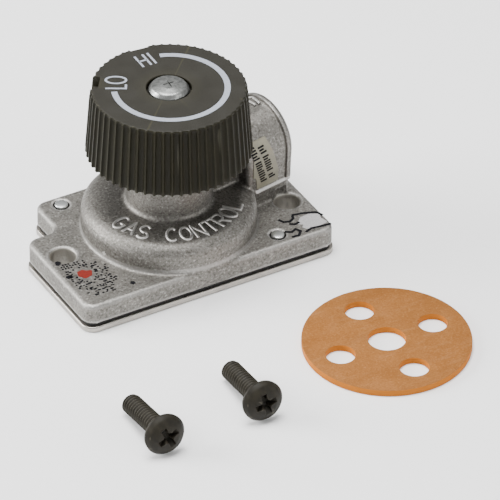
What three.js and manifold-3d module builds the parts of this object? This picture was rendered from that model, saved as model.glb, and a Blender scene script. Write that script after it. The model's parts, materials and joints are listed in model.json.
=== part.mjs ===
// Throttling gas valve with a HI/LO knob: a die-cast body on a riveted base plate, a stem that turns
// under the knob, and a spring-returned poppet that the stem screws down off its seat.
// Millimetres, +Z up. The origin is on the knob's axis, in the underside of the base plate.
// X runs along the long side of the plate, and the inlet boss points to +X.

import * as THREE from 'three';
import { mergeVertices } from 'three/addons/utils/BufferGeometryUtils.js';
import Module from 'manifold-3d';

const wasm = await Module();
wasm.setup();

// ---------- Driving dimensions ----------

const GAP = 0.3; // clearance between neighbouring pieces
const SEAM = 0.05; // clearance between flat faces that are clamped together

// Casting flange, seen from above
const LEFT = -42.4;
const RIGHT = 42.9;
const FRONT = -26.8;
const BACK = 28.2;
const NOTCH_X = -31.5; // the rear left corner is cut back to this line
const NOTCH_Y = 12.8;
const CORNER_R = 3.6;
const NOTCH_FILLET_R = 3;

// Heights
const PLATE_TOP = 1.9;
const FLANGE_BOTTOM = 3.1;
const FLANGE_TOP = 9.4;
const DOME_TOP = 19.2;
const NECK_TOP = 37.2;
const PLATE_LIP = 0.4; // how far the base plate stands out past the casting
const EDGE_ROUND = 1.9; // the rounded top edge of the flange

// Dome, neck and inlet boss
const DOME_R = 26.9;
const NECK_R = 13.1;
const BOSS_TURN = THREE.MathUtils.degToRad(10.5); // the boss points this far round from +X
const BOSS_Z = 26.2;
const BOSS_R = 12.5;
const BOSS_REACH = 38.4;
const COLLAR_LENGTH = 2.2;
const BOSS_BODY_R = 12;
const SKIRT_CUT = { r: 26.2, z: 36.1 }; // cut round the knob's axis that clears its skirt
const TOP_FLAT = { u: 21.7, v: 2.3, r: 14, z: 37.7 }; // shallow flat milled on top of the boss
const BOSS_START = 21.5; // inward from here the boss is a narrow pipe to the neck
const BOSS_PIPE_R = 7.4;
const FOOT_TOP = 14.5;
const FOOT_HALF_WIDTH = 10.8;
const PORT_R = 7.5;
const PORT_DEPTH = 15.5;
const PASSAGE_R = 4.4;

// Holes in the flange
const SCREW_HOLES = [
  [-36, 0.6],
  [36.6, -7.9],
];
const SCREW_HOLE_R = 3.95;
const RIVETS = [
  ['rivet_rear_left', -24.1, 23.8],
  ['rivet_front_right', 25.5, -21.6],
];
const RIVET_SHANK_R = 1.6;
const RIVET_HEAD_R = 2.05;
const RIVET_POCKET_R = 2.45;

// Gas ports: a ring in the base plate that matches the mounting gasket
const PORT_CIRCLE_R = 15.9;
const RING_PORTS = 4;
const PLATE_PORT_R = 3.75;

// Cavities of the casting
const PLENUM_R = 22.3;
const SEAT_BORE_R = 7;
const CHAMBER_BOTTOM = 19;
const CHAMBER_R = 8.3;
const BONNET_BORE_R = 9.3;
const BONNET_BORE_Z = 33;
const KEYWAY_R = 9.9;
const KEYWAY_WIDTH = 3.8;

// Knob
const KNOB_BOTTOM = 36.6;
const KNOB_TOP = 58.9;
const KNOB_BOTTOM_R = 25.2;
const KNOB_TOP_R = 23.5;
const FLUTES = 57;
const FLUTE_STEPS = 4; // points round one flute
const FLUTE_DEPTH = 0.85;
const KNOB_WALL = 2.6;
const KNOB_CEILING = 55.2;
const KNOB_RECESS_R = 6.75;
const KNOB_RECESS_Z = 56.7;
const HUB_R = 8;
const HUB_BOTTOM = 46.3;
const RIM_POCKETS = [[144.5, 21.5], [84.5, 22.3]]; // direction in degrees and the flat wall's distance out
const POCKET_DEPTH = 3.4;
const KNOB_TURN = THREE.MathUtils.degToRad(305);

// Stem and bonnet
const STEM_R = 4.2;
const STEM_BOTTOM = 27.5;
const STEM_TOP = 54.9;
const STEM_BORE_R = 2.6;
const STEM_FLAT_X = 2.6;
const D_SHAFT_R = 3.6;
const D_SHAFT_Z = 46;
const BONNET_R = 9;
const BONNET_BOTTOM = 33.4;
const BONNET_FLANGE_Z = 37.8;
const BONNET_TOP = 42.3;
const BONNET_FLATS = 20;
const PIN_CIRCLE_R = 9.6;
const PIN_R = 0.9;
const PIN_DEG = 265;

// Poppet train in its open (HI) position, 4.2 below where it stands at LO
const POPPET_TOP = 10.9;
const POPPET_R = 7.4;
const ROD_R = 1.9;
const LIFT_THREAD_R = 2.3;

// Loose fitting kit: gasket and 1/4-20 screws
const KIT_GASKET = { x: 32.7, y: -74, r: 25.4, thickness: 2.1, centreR: 5.7, ringR: 4.45 };
const KIT_SCREWS = [
  ['mounting_screw_1', -49.9, -86.2, -1.6],
  ['mounting_screw_2', -17.3, -86.3, -3.7],
];
const SCREW_R = 3.17;
const SCREW_LENGTH = 21.3;
const SCREW_HEAD_R = 6.4;
const SCREW_HEAD_HEIGHT = 3.8;

// ---------- Geometry helpers ----------

// A closed three.js geometry as a manifold solid, with its faces turned outward.
function solid(geometry) {
  const bare = geometry.clone();
  bare.deleteAttribute('normal');
  bare.deleteAttribute('uv');
  const merged = mergeVertices(bare, 1e-4);
  const points = merged.attributes.position.array;
  const index = merged.index.array;
  const faces = [];
  let volume = 0;
  for (let i = 0; i < index.length; i += 3) {
    const [a, b, c] = [index[i], index[i + 1], index[i + 2]];
    if (a === b || b === c || c === a) continue;
    faces.push([a, b, c]);
    const [p, q, r] = [a, b, c].map((k) => new THREE.Vector3().fromArray(points, 3 * k));
    volume += p.dot(q.cross(r));
  }
  const outward = volume > 0 ? faces : faces.map(([a, b, c]) => [a, c, b]);
  return new wasm.Manifold(
    new wasm.Mesh({
      numProp: 3,
      vertProperties: new Float32Array(points),
      triVerts: new Uint32Array(outward.flat()),
    }),
  );
}

function geometryOf(manifold) {
  const mesh = manifold.getMesh();
  const geometry = new THREE.BufferGeometry();
  geometry.setAttribute('position', new THREE.BufferAttribute(new Float32Array(mesh.vertProperties), 3));
  geometry.setIndex(new THREE.BufferAttribute(new Uint32Array(mesh.triVerts), 1));
  geometry.computeVertexNormals();
  return geometry;
}

function join(...solids) {
  return solids.reduce((all, next) => all.add(next));
}

function cut(body, ...tools) {
  return tools.reduce((left, tool) => left.subtract(tool), body);
}

// A profile of [radius, height] points turned about +Z.
function turned(profile, segments = 32) {
  const points = profile.map(([r, z]) => new THREE.Vector2(r, z));
  return solid(new THREE.LatheGeometry(points, segments).rotateX(Math.PI / 2));
}

function cylinder(radius, bottom, top, { x = 0, y = 0, segments = 24 } = {}) {
  const geometry = new THREE.CylinderGeometry(radius, radius, top - bottom, segments);
  return solid(geometry.rotateX(Math.PI / 2).translate(x, y, (bottom + top) / 2));
}

function tubeRing(inner, outer, bottom, top, segments = 28) {
  const profile = [[inner, bottom], [outer, bottom], [outer, top], [inner, top], [inner, bottom]];
  return turned(profile, segments);
}

function oRing(centreR, wireR, z, segments = 28) {
  const profile = [];
  const steps = 6;
  for (let i = 0; i <= steps; i += 1) {
    const turn = (i / steps) * 2 * Math.PI;
    profile.push([centreR + wireR * Math.cos(turn), z + wireR * Math.sin(turn)]);
  }
  profile[steps] = [...profile[0]];
  return turned(profile, segments);
}

function block(x0, x1, y0, y1, z0, z1) {
  const geometry = new THREE.BoxGeometry(x1 - x0, y1 - y0, z1 - z0);
  return solid(geometry.translate((x0 + x1) / 2, (y0 + y1) / 2, (z0 + z1) / 2));
}

// A flat outline raised from one height to another.
function raised(shape, bottom, top, curveSegments = 5) {
  const settings = { depth: top - bottom, bevelEnabled: false, curveSegments };
  return solid(new THREE.ExtrudeGeometry(shape, settings).translate(0, 0, bottom));
}

// The casting's outline from above, grown outward by the given amount.
function outline(grow = 0) {
  const convex = CORNER_R + grow;
  const concave = NOTCH_FILLET_R - grow;
  const [x0, x1] = [LEFT - grow, RIGHT + grow];
  const [y0, y1] = [FRONT - grow, BACK + grow];
  const [notchX, notchY] = [NOTCH_X - grow, NOTCH_Y + grow];
  const quarter = Math.PI / 2;
  const shape = new THREE.Shape();
  shape.moveTo(x0 + convex, y0);
  shape.lineTo(x1 - convex, y0);
  shape.absarc(x1 - convex, y0 + convex, convex, -quarter, 0);
  shape.lineTo(x1, y1 - convex);
  shape.absarc(x1 - convex, y1 - convex, convex, 0, quarter);
  shape.lineTo(notchX + convex, y1);
  shape.absarc(notchX + convex, y1 - convex, convex, quarter, 2 * quarter);
  shape.lineTo(notchX, notchY + concave);
  shape.absarc(notchX - concave, notchY + concave, concave, 0, -quarter, true);
  shape.lineTo(x0 + convex, notchY);
  shape.absarc(x0 + convex, notchY - convex, convex, quarter, 2 * quarter);
  shape.lineTo(x0, y0 + convex);
  shape.absarc(x0 + convex, y0 + convex, convex, 2 * quarter, 3 * quarter);
  return shape;
}

function turnAboutZ(manifold, angle) {
  return solid(geometryOf(manifold).rotateZ(angle));
}

// ---------- Scene graph ----------

const valve = new THREE.Group();

function add(name, manifold, colour, roughness, metalness, parent = valve) {
  const material = new THREE.MeshStandardMaterial({ color: colour, roughness, metalness });
  const mesh = new THREE.Mesh(geometryOf(manifold), material);
  mesh.name = name;
  parent.add(mesh);
  return mesh;
}

const CAST = [0xa5a09b, 0.55, 0.8];
const BRIGHT = [0xd3d4d2, 0.3, 1];
const BRASS = [0xc2a35a, 0.35, 1];
const RUBBER = [0x1f1e1c, 0.8, 0];
const DARK_PLASTIC = [0x453f38, 0.5, 0];

// ---------- Casting ----------

// The boss, built along +X and then turned: round on top, straight-sided below its axis.
function bossSection(radius) {
  const shape = new THREE.Shape();
  shape.moveTo(0, -radius);
  shape.absarc(BOSS_Z, 0, radius, -Math.PI / 2, Math.PI / 2);
  shape.lineTo(0, radius);
  shape.closePath();
  return shape;
}

// Extrudes a section drawn as (height, across) along +X between two distances from the knob's axis.
function alongBoss(shape, from, to, curveSegments = 14) {
  const settings = { depth: to - from, bevelEnabled: false, curveSegments };
  const geometry = new THREE.ExtrudeGeometry(shape, settings);
  const toX = new THREE.Matrix4().makeBasis(
    new THREE.Vector3(0, 0, 1),
    new THREE.Vector3(0, 1, 0),
    new THREE.Vector3(1, 0, 0),
  );
  return solid(geometry.applyMatrix4(toX).translate(from, 0, 0));
}

function roundAlongBoss(radius, from, to, segments = 28) {
  const circle = new THREE.Shape();
  circle.absarc(BOSS_Z, 0, radius, 0, 2 * Math.PI);
  return alongBoss(circle, from, to, segments / 2);
}

function inletBoss() {
  const collarStart = BOSS_REACH - COLLAR_LENGTH;
  const below = block(-1, BOSS_REACH + 1, -20, 20, -1, FOOT_TOP);
  const upper = join(
    alongBoss(bossSection(BOSS_PIPE_R), 8, BOSS_START + 1),
    alongBoss(bossSection(BOSS_BODY_R), BOSS_START, collarStart + 1),
    alongBoss(bossSection(BOSS_R), collarStart, BOSS_REACH),
  ).subtract(below);
  const top = BOSS_Z + BOSS_R + 1;
  const flat = cylinder(TOP_FLAT.r, TOP_FLAT.z, top, { x: TOP_FLAT.u, y: TOP_FLAT.v, segments: 40 });
  const skirtCut = cylinder(SKIRT_CUT.r, SKIRT_CUT.z, top, { segments: 48 });
  const foot = block(8, BOSS_REACH - 0.5, -FOOT_HALF_WIDTH, FOOT_HALF_WIDTH, FLANGE_TOP - 2, FOOT_TOP + 0.5);
  return turnAboutZ(join(cut(upper, flat, skirtCut), foot), BOSS_TURN);
}

function flange() {
  const settings = {
    depth: FLANGE_TOP - FLANGE_BOTTOM - EDGE_ROUND + 2,
    bevelEnabled: true,
    bevelThickness: EDGE_ROUND,
    bevelSize: EDGE_ROUND,
    bevelOffset: -EDGE_ROUND,
    bevelSegments: 2,
    curveSegments: 5,
  };
  const rounded = new THREE.ExtrudeGeometry(outline(), settings).translate(0, 0, FLANGE_BOTTOM - 2);
  const keep = block(-60, 60, -60, 60, FLANGE_BOTTOM, FLANGE_TOP + 1);
  return solid(rounded).intersect(keep);
}

function valveBody() {
  const dome = turned(
    [
      [0, FLANGE_TOP - 3],
      [DOME_R + 1.4, FLANGE_TOP - 3],
      [DOME_R + 1.4, FLANGE_TOP],
      [DOME_R + 0.3, FLANGE_TOP + 0.6],
      [DOME_R - 0.2, FLANGE_TOP + 5],
      [DOME_R - 0.7, FLANGE_TOP + 6.4],
      [DOME_R - 1.6, FLANGE_TOP + 7.7],
      [DOME_R - 3, FLANGE_TOP + 8.6],
      [NECK_R + 2.6, DOME_TOP],
      [NECK_R + 1, DOME_TOP + 0.6],
      [NECK_R + 0.2, DOME_TOP + 1.8],
      [NECK_R, DOME_TOP + 3],
      [NECK_R, NECK_TOP],
      [0, NECK_TOP],
    ],
    48,
  );
  const plenum = turned(
    [
      [0, FLANGE_BOTTOM - 1],
      [PLENUM_R, FLANGE_BOTTOM - 1],
      [PLENUM_R, FLANGE_TOP + 2.6],
      [PLENUM_R - 2.4, FLANGE_TOP + 5.2],
      [SEAT_BORE_R + 2.5, FLANGE_TOP + 6.1],
      [0, FLANGE_TOP + 6.1],
    ],
    36,
  );
  const bores = turned(
    [
      [0, FLANGE_TOP],
      [SEAT_BORE_R, FLANGE_TOP],
      [SEAT_BORE_R, CHAMBER_BOTTOM],
      [CHAMBER_R, CHAMBER_BOTTOM],
      [CHAMBER_R, BONNET_BORE_Z],
      [BONNET_BORE_R, BONNET_BORE_Z],
      [BONNET_BORE_R, NECK_TOP + 1],
      [0, NECK_TOP + 1],
    ],
    36,
  );
  const keyways = block(
    -KEYWAY_WIDTH / 2, KEYWAY_WIDTH / 2, -KEYWAY_R, KEYWAY_R, CHAMBER_BOTTOM, BONNET_BORE_Z,
  );
  const port = turnAboutZ(
    join(
      roundAlongBoss(PORT_R, BOSS_REACH - PORT_DEPTH, BOSS_REACH + 1),
      roundAlongBoss(PASSAGE_R, 0, BOSS_REACH - PORT_DEPTH + 1, 20),
    ),
    BOSS_TURN,
  );
  const screwHoles = SCREW_HOLES.map(([x, y]) => cylinder(SCREW_HOLE_R, 0, FLANGE_TOP + 3, { x, y }));
  const rivetHoles = RIVETS.flatMap(([, x, y]) => [
    cylinder(RIVET_SHANK_R + GAP, 0, FLANGE_TOP + 1, { x, y, segments: 16 }),
    cylinder(RIVET_POCKET_R, FLANGE_TOP - 1, FLANGE_TOP + 3, { x, y, segments: 16 }),
  ]);
  const domeInOutline = dome.intersect(raised(outline(), 0, NECK_TOP + 1));
  const outside = join(flange(), domeInOutline, inletBoss());
  return cut(outside, plenum, bores, keyways, port, ...screwHoles, ...rivetHoles);
}

add('valve_body', valveBody(), ...CAST);

// ---------- Base plate, gasket and rivets ----------

function ringPorts(radius, bottom, top) {
  const holes = [];
  for (let i = 0; i < RING_PORTS; i += 1) {
    const turn = (i / RING_PORTS) * 2 * Math.PI;
    const centre = { x: PORT_CIRCLE_R * Math.cos(turn), y: PORT_CIRCLE_R * Math.sin(turn) };
    holes.push(cylinder(radius, bottom, top, { ...centre, segments: 20 }));
  }
  return holes;
}

function flatHoles(bottom, top, rivetR) {
  return [
    ...SCREW_HOLES.map(([x, y]) => cylinder(SCREW_HOLE_R, bottom, top, { x, y })),
    ...RIVETS.map(([, x, y]) => cylinder(rivetR, bottom, top, { x, y, segments: 16 })),
  ];
}

const plate = cut(
  raised(outline(PLATE_LIP), 0, PLATE_TOP - SEAM),
  ...flatHoles(-1, PLATE_TOP + 1, RIVET_SHANK_R + GAP),
  ...RIVETS.map(([, x, y]) => cylinder(RIVET_POCKET_R, -1, 0.9, { x, y, segments: 16 })),
  ...ringPorts(PLATE_PORT_R, -1, PLATE_TOP + 1),
);
add('base_plate', plate, ...BRIGHT);

const baseGasket = cut(
  raised(outline(-0.25), PLATE_TOP, FLANGE_BOTTOM - SEAM),
  ...flatHoles(0, FLANGE_TOP, RIVET_SHANK_R + GAP),
  cylinder(PLENUM_R, 0, FLANGE_TOP, { segments: 36 }),
);
add('base_gasket', baseGasket, ...RUBBER);

for (const [name, x, y] of RIVETS) {
  const rivet = turned(
    [
      [0, 0.1],
      [RIVET_HEAD_R, 0.1],
      [RIVET_HEAD_R, 0.6],
      [RIVET_SHANK_R, 0.6],
      [RIVET_SHANK_R, FLANGE_TOP - 0.7],
      [RIVET_HEAD_R, FLANGE_TOP - 0.7],
      [RIVET_HEAD_R, FLANGE_TOP + 0.1],
      [RIVET_HEAD_R * 0.7, FLANGE_TOP + 0.4],
      [0, FLANGE_TOP + 0.5],
    ],
    16,
  );
  add(name, rivet, ...BRIGHT).position.set(x, y, 0);
}

// ---------- Sticker on the boss ----------

// A thin sheet that lies against the side of the boss and bends over its shoulder.
const LABEL_FROM = 23;
const LABEL_TO = 33.6;
const LABEL_BOTTOM = 15.2;
const LABEL_BEND = THREE.MathUtils.degToRad(43);

function labelSection() {
  const [inner, outer] = [BOSS_BODY_R + 0.12, BOSS_BODY_R + 0.3];
  const side = -Math.PI / 2;
  const shape = new THREE.Shape();
  shape.moveTo(LABEL_BOTTOM, -inner);
  shape.lineTo(LABEL_BOTTOM, -outer);
  shape.absarc(BOSS_Z, 0, outer, side, side + LABEL_BEND);
  shape.absarc(BOSS_Z, 0, inner, side + LABEL_BEND, side, true);
  shape.closePath();
  return shape;
}

const wholeLabel = turnAboutZ(alongBoss(labelSection(), LABEL_FROM, LABEL_TO, 8), BOSS_TURN);
const label = wholeLabel.subtract(cylinder(DOME_R + 0.8, 0, DOME_TOP + 0.8, { segments: 48 }));
add('inlet_label', label, 0xcfc8ac, 0.6, 0);

// ---------- Seat, poppet and spring ----------

const seatRing = turned(
  [
    [4.6, 16],
    [SEAT_BORE_R - GAP, 16],
    [SEAT_BORE_R - GAP, CHAMBER_BOTTOM + 0.1],
    [CHAMBER_R - GAP, CHAMBER_BOTTOM + 0.1],
    [CHAMBER_R - GAP, CHAMBER_BOTTOM + 1.1],
    [4.6, CHAMBER_BOTTOM + 1.1],
    [4.6, 16],
  ],
  32,
);
add('seat_ring', seatRing, ...BRASS);

// The rod carries the poppet below the seat and screws into the stem above it.
const GUIDE_Z = 21.2;
const GUIDE_THICK = 1.5;
const liftScrew = turned(
  [
    [0, POPPET_TOP - 4.6],
    [ROD_R - 0.2, POPPET_TOP - 4.6],
    [ROD_R - 0.2, POPPET_TOP + 0.4],
    [ROD_R + 1, POPPET_TOP + 0.4],
    [ROD_R + 1, POPPET_TOP + 1.4],
    [ROD_R, POPPET_TOP + 1.4],
    [ROD_R, GUIDE_Z + GUIDE_THICK + 0.4],
    [LIFT_THREAD_R, GUIDE_Z + GUIDE_THICK + 0.8],
    [LIFT_THREAD_R, 32],
    [0, 32],
  ],
  32,
);
add('lift_screw', liftScrew, ...BRASS);

const guidePlate = join(
  cylinder(5.4, GUIDE_Z, GUIDE_Z + GUIDE_THICK, { segments: 28 }),
  block(
    -KEYWAY_WIDTH / 2 + 0.4, KEYWAY_WIDTH / 2 - 0.4, -KEYWAY_R + 0.5, KEYWAY_R - 0.5,
    GUIDE_Z, GUIDE_Z + GUIDE_THICK,
  ),
).subtract(cylinder(ROD_R + 0.15, 0, 40, { segments: 28 }));
add('guide_plate', guidePlate, ...BRIGHT);

add('poppet', tubeRing(ROD_R + 0.1, POPPET_R, POPPET_TOP - 2.7, POPPET_TOP - 1.3), ...BRASS);
add('poppet_seal', tubeRing(ROD_R + 0.1, POPPET_R - 0.4, POPPET_TOP - 1.2, POPPET_TOP), ...RUBBER);

const poppetNut = cut(
  turned([[0, POPPET_TOP - 4.5], [3.3, POPPET_TOP - 4.5], [3.3, POPPET_TOP - 2.8], [0, POPPET_TOP - 2.8]], 6),
  cylinder(ROD_R + 0.1, 0, 40, { segments: 28 }),
);
add('poppet_nut', poppetNut, ...BRASS);

const springGuide = turned(
  [
    [4.4, PLATE_TOP + 0.05],
    [7.2, PLATE_TOP + 0.05],
    [7.2, PLATE_TOP + 0.75],
    [5, PLATE_TOP + 0.75],
    [5, PLATE_TOP + 1.6],
    [4.4, PLATE_TOP + 1.6],
    [4.4, PLATE_TOP + 0.05],
  ],
  28,
);
add('spring_guide', springGuide, ...BRIGHT);

// The return spring, between its guide and the poppet.
class Helix extends THREE.Curve {
  constructor(radius, bottom, top, turns) {
    super();
    Object.assign(this, { radius, bottom, top, turns });
  }

  getPoint(t, target = new THREE.Vector3()) {
    const angle = t * this.turns * 2 * Math.PI;
    const height = this.bottom + t * (this.top - this.bottom);
    return target.set(this.radius * Math.cos(angle), this.radius * Math.sin(angle), height);
  }
}

function spring(radius, bottom, top, turns, wireR) {
  const section = new THREE.Shape();
  section.absarc(0, 0, wireR, 0, 2 * Math.PI);
  const path = new Helix(radius, bottom + wireR, top - wireR, turns);
  const settings = { steps: 14 * turns, extrudePath: path, curveSegments: 4, bevelEnabled: false };
  return solid(new THREE.ExtrudeGeometry(section, settings));
}

add('return_spring', spring(6, PLATE_TOP + 1.05, POPPET_TOP - 3, 3, 0.4), ...BRIGHT);

// ---------- Stem and bonnet ----------

const GROOVE_R = 3;
const RING_Z = [35.3, 39.6];
const RING_HALF = 0.9;
const CLIP_Z = 42.8;
const CLIP_GROOVE_R = 3.1;

function stemSolid() {
  const profile = [
    [STEM_BORE_R, STEM_BOTTOM],
    [STEM_R, STEM_BOTTOM],
    [STEM_R, 30.6],
    [6.3, 30.6],
    [6.3, 32.2],
    [STEM_R, 32.2],
  ];
  for (const z of RING_Z) {
    profile.push([STEM_R, z - RING_HALF], [GROOVE_R, z - RING_HALF]);
    profile.push([GROOVE_R, z + RING_HALF], [STEM_R, z + RING_HALF]);
  }
  profile.push(
    [STEM_R, CLIP_Z - 0.15],
    [CLIP_GROOVE_R, CLIP_Z - 0.15],
    [CLIP_GROOVE_R, CLIP_Z + 0.85],
    [STEM_R, CLIP_Z + 0.85],
    [STEM_R, D_SHAFT_Z],
    [D_SHAFT_R, D_SHAFT_Z],
    [D_SHAFT_R, STEM_TOP],
    [2.15, STEM_TOP],
    [2.15, 46.5],
    [0, 46.5],
    [0, 37.5],
    [1.6, 37.5],
    [1.6, 37.2],
    [STEM_BORE_R, 36.9],
    [STEM_BORE_R, STEM_BOTTOM],
  );
  return cut(turned(profile, 28), block(STEM_FLAT_X, 6, -6, 6, D_SHAFT_Z, STEM_TOP + 1));
}

add('stem', stemSolid(), ...BRASS);
add('stem_oring_lower', oRing(3.86, 0.56, RING_Z[0]), ...RUBBER);
add('stem_oring_upper', oRing(3.86, 0.56, RING_Z[1]), ...RUBBER);
add('thrust_washer', tubeRing(4.5, 7.2, 32.5, 33.1), ...BRIGHT);

const clip = cut(tubeRing(3.4, 6, CLIP_Z, CLIP_Z + 0.7), block(-2, 2, 0, 8, CLIP_Z - 1, CLIP_Z + 2));
add('retaining_clip', clip, ...BRIGHT);

const pinTurn = THREE.MathUtils.degToRad(PIN_DEG);
const pinAt = { x: PIN_CIRCLE_R * Math.cos(pinTurn), y: PIN_CIRCLE_R * Math.sin(pinTurn) };
const bonnet = cut(
  join(
    cylinder(BONNET_R, BONNET_BOTTOM, BONNET_FLANGE_Z + 1, { segments: 32 }),
    turned(
      [
        [0, BONNET_FLANGE_Z],
        [BONNET_FLATS / Math.sqrt(3), BONNET_FLANGE_Z],
        [BONNET_FLATS / Math.sqrt(3), BONNET_TOP],
        [0, BONNET_TOP],
      ],
      6,
    ),
  ),
  cylinder(STEM_R + GAP, 30, 50, { segments: 28 }),
  cylinder(PIN_R + 0.1, BONNET_TOP - 2.4, BONNET_TOP + 1, { ...pinAt, segments: 20 }),
);
add('bonnet_nut', bonnet, ...BRASS);
add('bonnet_gasket', tubeRing(9.5, 12.2, NECK_TOP + SEAM, BONNET_FLANGE_Z - SEAM), 0x8a6a45, 0.8, 0);
add('stop_pin', cylinder(PIN_R, BONNET_TOP - 2.2, HUB_BOTTOM + 1.6, { ...pinAt, segments: 20 }), ...BRIGHT);

// ---------- Knob ----------

// Rounded grip ribs all round the outer wall, up to a plain rim.
function flutedWall() {
  const ribTop = KNOB_TOP - 1.6;
  const profile = [
    [0, KNOB_BOTTOM],
    [KNOB_BOTTOM_R, KNOB_BOTTOM],
    [KNOB_TOP_R + 0.15, ribTop],
    [KNOB_TOP_R - 0.1, ribTop + 0.5],
    [KNOB_TOP_R - 0.1, KNOB_TOP - 0.35],
    [KNOB_TOP_R - 0.5, KNOB_TOP],
    [0, KNOB_TOP],
  ];
  const points = profile.map(([r, z]) => new THREE.Vector2(r, z));
  const geometry = new THREE.LatheGeometry(points, FLUTES * FLUTE_STEPS).rotateX(Math.PI / 2);
  const place = geometry.attributes.position;
  for (let i = 0; i < place.count; i += 1) {
    const [x, y, z] = [place.getX(i), place.getY(i), place.getZ(i)];
    const r = Math.hypot(x, y);
    if (r < KNOB_TOP_R || z > ribTop + 0.1) continue;
    const phase = Math.atan2(y, x) * FLUTES;
    const scale = 1 - (FLUTE_DEPTH * (0.5 - 0.5 * Math.cos(phase))) / r;
    place.setXY(i, x * scale, y * scale);
  }
  return solid(geometry);
}

// The arm under the hub that meets the stop pin at either end of the turn.
function stopArm() {
  const pinHalf = Math.asin((PIN_R + GAP) / PIN_CIRCLE_R);
  const armTurn = 2 * Math.PI - KNOB_TURN - 2 * pinHalf;
  const start = pinTurn + pinHalf;
  const arm = new THREE.Shape();
  arm.absarc(0, 0, 11.2, start, start + armTurn);
  arm.absarc(0, 0, 5, start + armTurn, start, true);
  arm.closePath();
  return raised(arm, BONNET_TOP + 1.5, HUB_BOTTOM + 2, 8);
}

function knobSolid() {
  const inside = turned(
    [
      [0, KNOB_BOTTOM - 1],
      [KNOB_BOTTOM_R - KNOB_WALL, KNOB_BOTTOM - 1],
      [KNOB_TOP_R - KNOB_WALL, KNOB_CEILING - 1.5],
      [KNOB_TOP_R - KNOB_WALL - 1.5, KNOB_CEILING],
      [0, KNOB_CEILING],
    ],
    36,
  );
  const webReach = KNOB_TOP_R - KNOB_WALL + 1;
  const webBottom = HUB_BOTTOM + 5;
  const hub = join(
    cylinder(HUB_R, HUB_BOTTOM, KNOB_CEILING + 1, { segments: 28 }),
    block(-webReach, webReach, -0.8, 0.8, webBottom, KNOB_CEILING + 1),
    block(-0.8, 0.8, -webReach, webReach, webBottom, KNOB_CEILING + 1),
    stopArm(),
  );
  const pockets = RIM_POCKETS.map(([degrees, wall]) => {
    const notch = block(wall, KNOB_TOP_R + 3, -2.9, 2.9, KNOB_TOP - POCKET_DEPTH, KNOB_TOP + 1);
    return turnAboutZ(notch, THREE.MathUtils.degToRad(degrees));
  });
  return cut(
    join(cut(flutedWall(), inside), hub),
    cylinder(5.9, BONNET_TOP - 1, STEM_TOP + GAP, { segments: 28 }),
    cylinder(2.3, KNOB_CEILING - 2, KNOB_TOP, { segments: 24 }),
    cylinder(KNOB_RECESS_R, KNOB_RECESS_Z, KNOB_TOP + 1, { segments: 28 }),
    ...pockets,
  );
}

add('knob', knobSolid(), ...DARK_PLASTIC);

const insertBore = cut(
  cylinder(D_SHAFT_R + GAP, 40, 60, { segments: 28 }),
  block(STEM_FLAT_X + GAP, 6, -6, 6, 39, 61),
);
const insert = cylinder(5.6, D_SHAFT_Z + 0.6, STEM_TOP, { segments: 28 }).subtract(insertBore);
add('knob_insert', insert, ...BRASS);

const lockWasher = tubeRing(2.4, 4.6, KNOB_RECESS_Z + SEAM, KNOB_RECESS_Z + 0.7, 24);
add('knob_lock_washer', lockWasher, ...BRIGHT);

// A cross recess for a Phillips driver, standing at the given height and reaching down.
function crossRecess(top, span, depth) {
  const arms = [0, Math.PI / 2].map((turn) => {
    const wing = new THREE.Shape();
    wing.moveTo(-span / 2, 1);
    wing.lineTo(-span / 2, 0);
    wing.lineTo(-span / 5, -depth);
    wing.lineTo(span / 5, -depth);
    wing.lineTo(span / 2, 0);
    wing.lineTo(span / 2, 1);
    const settings = { depth: span / 5, bevelEnabled: false };
    const geometry = new THREE.ExtrudeGeometry(wing, settings).translate(0, 0, -span / 10);
    return solid(geometry.rotateX(Math.PI / 2).rotateZ(turn).translate(0, 0, top));
  });
  return join(...arms);
}

const headBottom = KNOB_RECESS_Z + 0.8;
const knobScrew = cut(
  turned(
    [
      [0, 48],
      [1.85, 48],
      [1.85, headBottom],
      [6, headBottom],
      [6.15, headBottom + 0.9],
      [5.6, headBottom + 1.9],
      [4, headBottom + 2.6],
      [2, headBottom + 2.9],
      [0, headBottom + 3],
    ],
    28,
  ),
  crossRecess(headBottom + 3, 4, 1.4),
);
add('knob_screw', knobScrew, ...BRIGHT);

// ---------- Loose fitting kit ----------

const kitGasket = cut(
  cylinder(KIT_GASKET.r, 0, KIT_GASKET.thickness, { segments: 48 }),
  cylinder(KIT_GASKET.centreR, -1, 4, { segments: 28 }),
  ...ringPorts(KIT_GASKET.ringR, -1, 4),
);
add('mounting_gasket', kitGasket, 0xbe8c5f, 0.7, 0).position.set(KIT_GASKET.x, KIT_GASKET.y, 0);

function mountingScrew() {
  const profile = [
    [0, -SCREW_LENGTH],
    [SCREW_R - 0.7, -SCREW_LENGTH],
    [SCREW_R, -SCREW_LENGTH + 0.8],
    [SCREW_R, 0],
    [SCREW_HEAD_R - 0.3, 0],
    [SCREW_HEAD_R, 0.6],
    [SCREW_HEAD_R - 0.2, 1.9],
    [SCREW_HEAD_R - 1.4, 3.2],
    [SCREW_HEAD_R - 3.2, SCREW_HEAD_HEIGHT - 0.1],
    [0, SCREW_HEAD_HEIGHT],
  ];
  return cut(turned(profile, 24), crossRecess(SCREW_HEAD_HEIGHT, 7, 2.4));
}

// Each screw lies on its head's rim and its tip.
const lie = Math.atan((SCREW_HEAD_R - SCREW_R) / SCREW_LENGTH);
for (const [name, x, y, swing] of KIT_SCREWS) {
  const screw = add(name, mountingScrew(), 0x23211f, 0.45, 0.6);
  screw.position.set(x, y, SCREW_HEAD_R * Math.cos(lie) + 0.1);
  screw.rotation.set(Math.PI / 2 - lie, 0, THREE.MathUtils.degToRad(swing), 'ZYX');
}

export default valve;
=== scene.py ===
import json
import math
import random

import bmesh
import bpy
import numpy as np
from mathutils import Matrix, Vector


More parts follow.
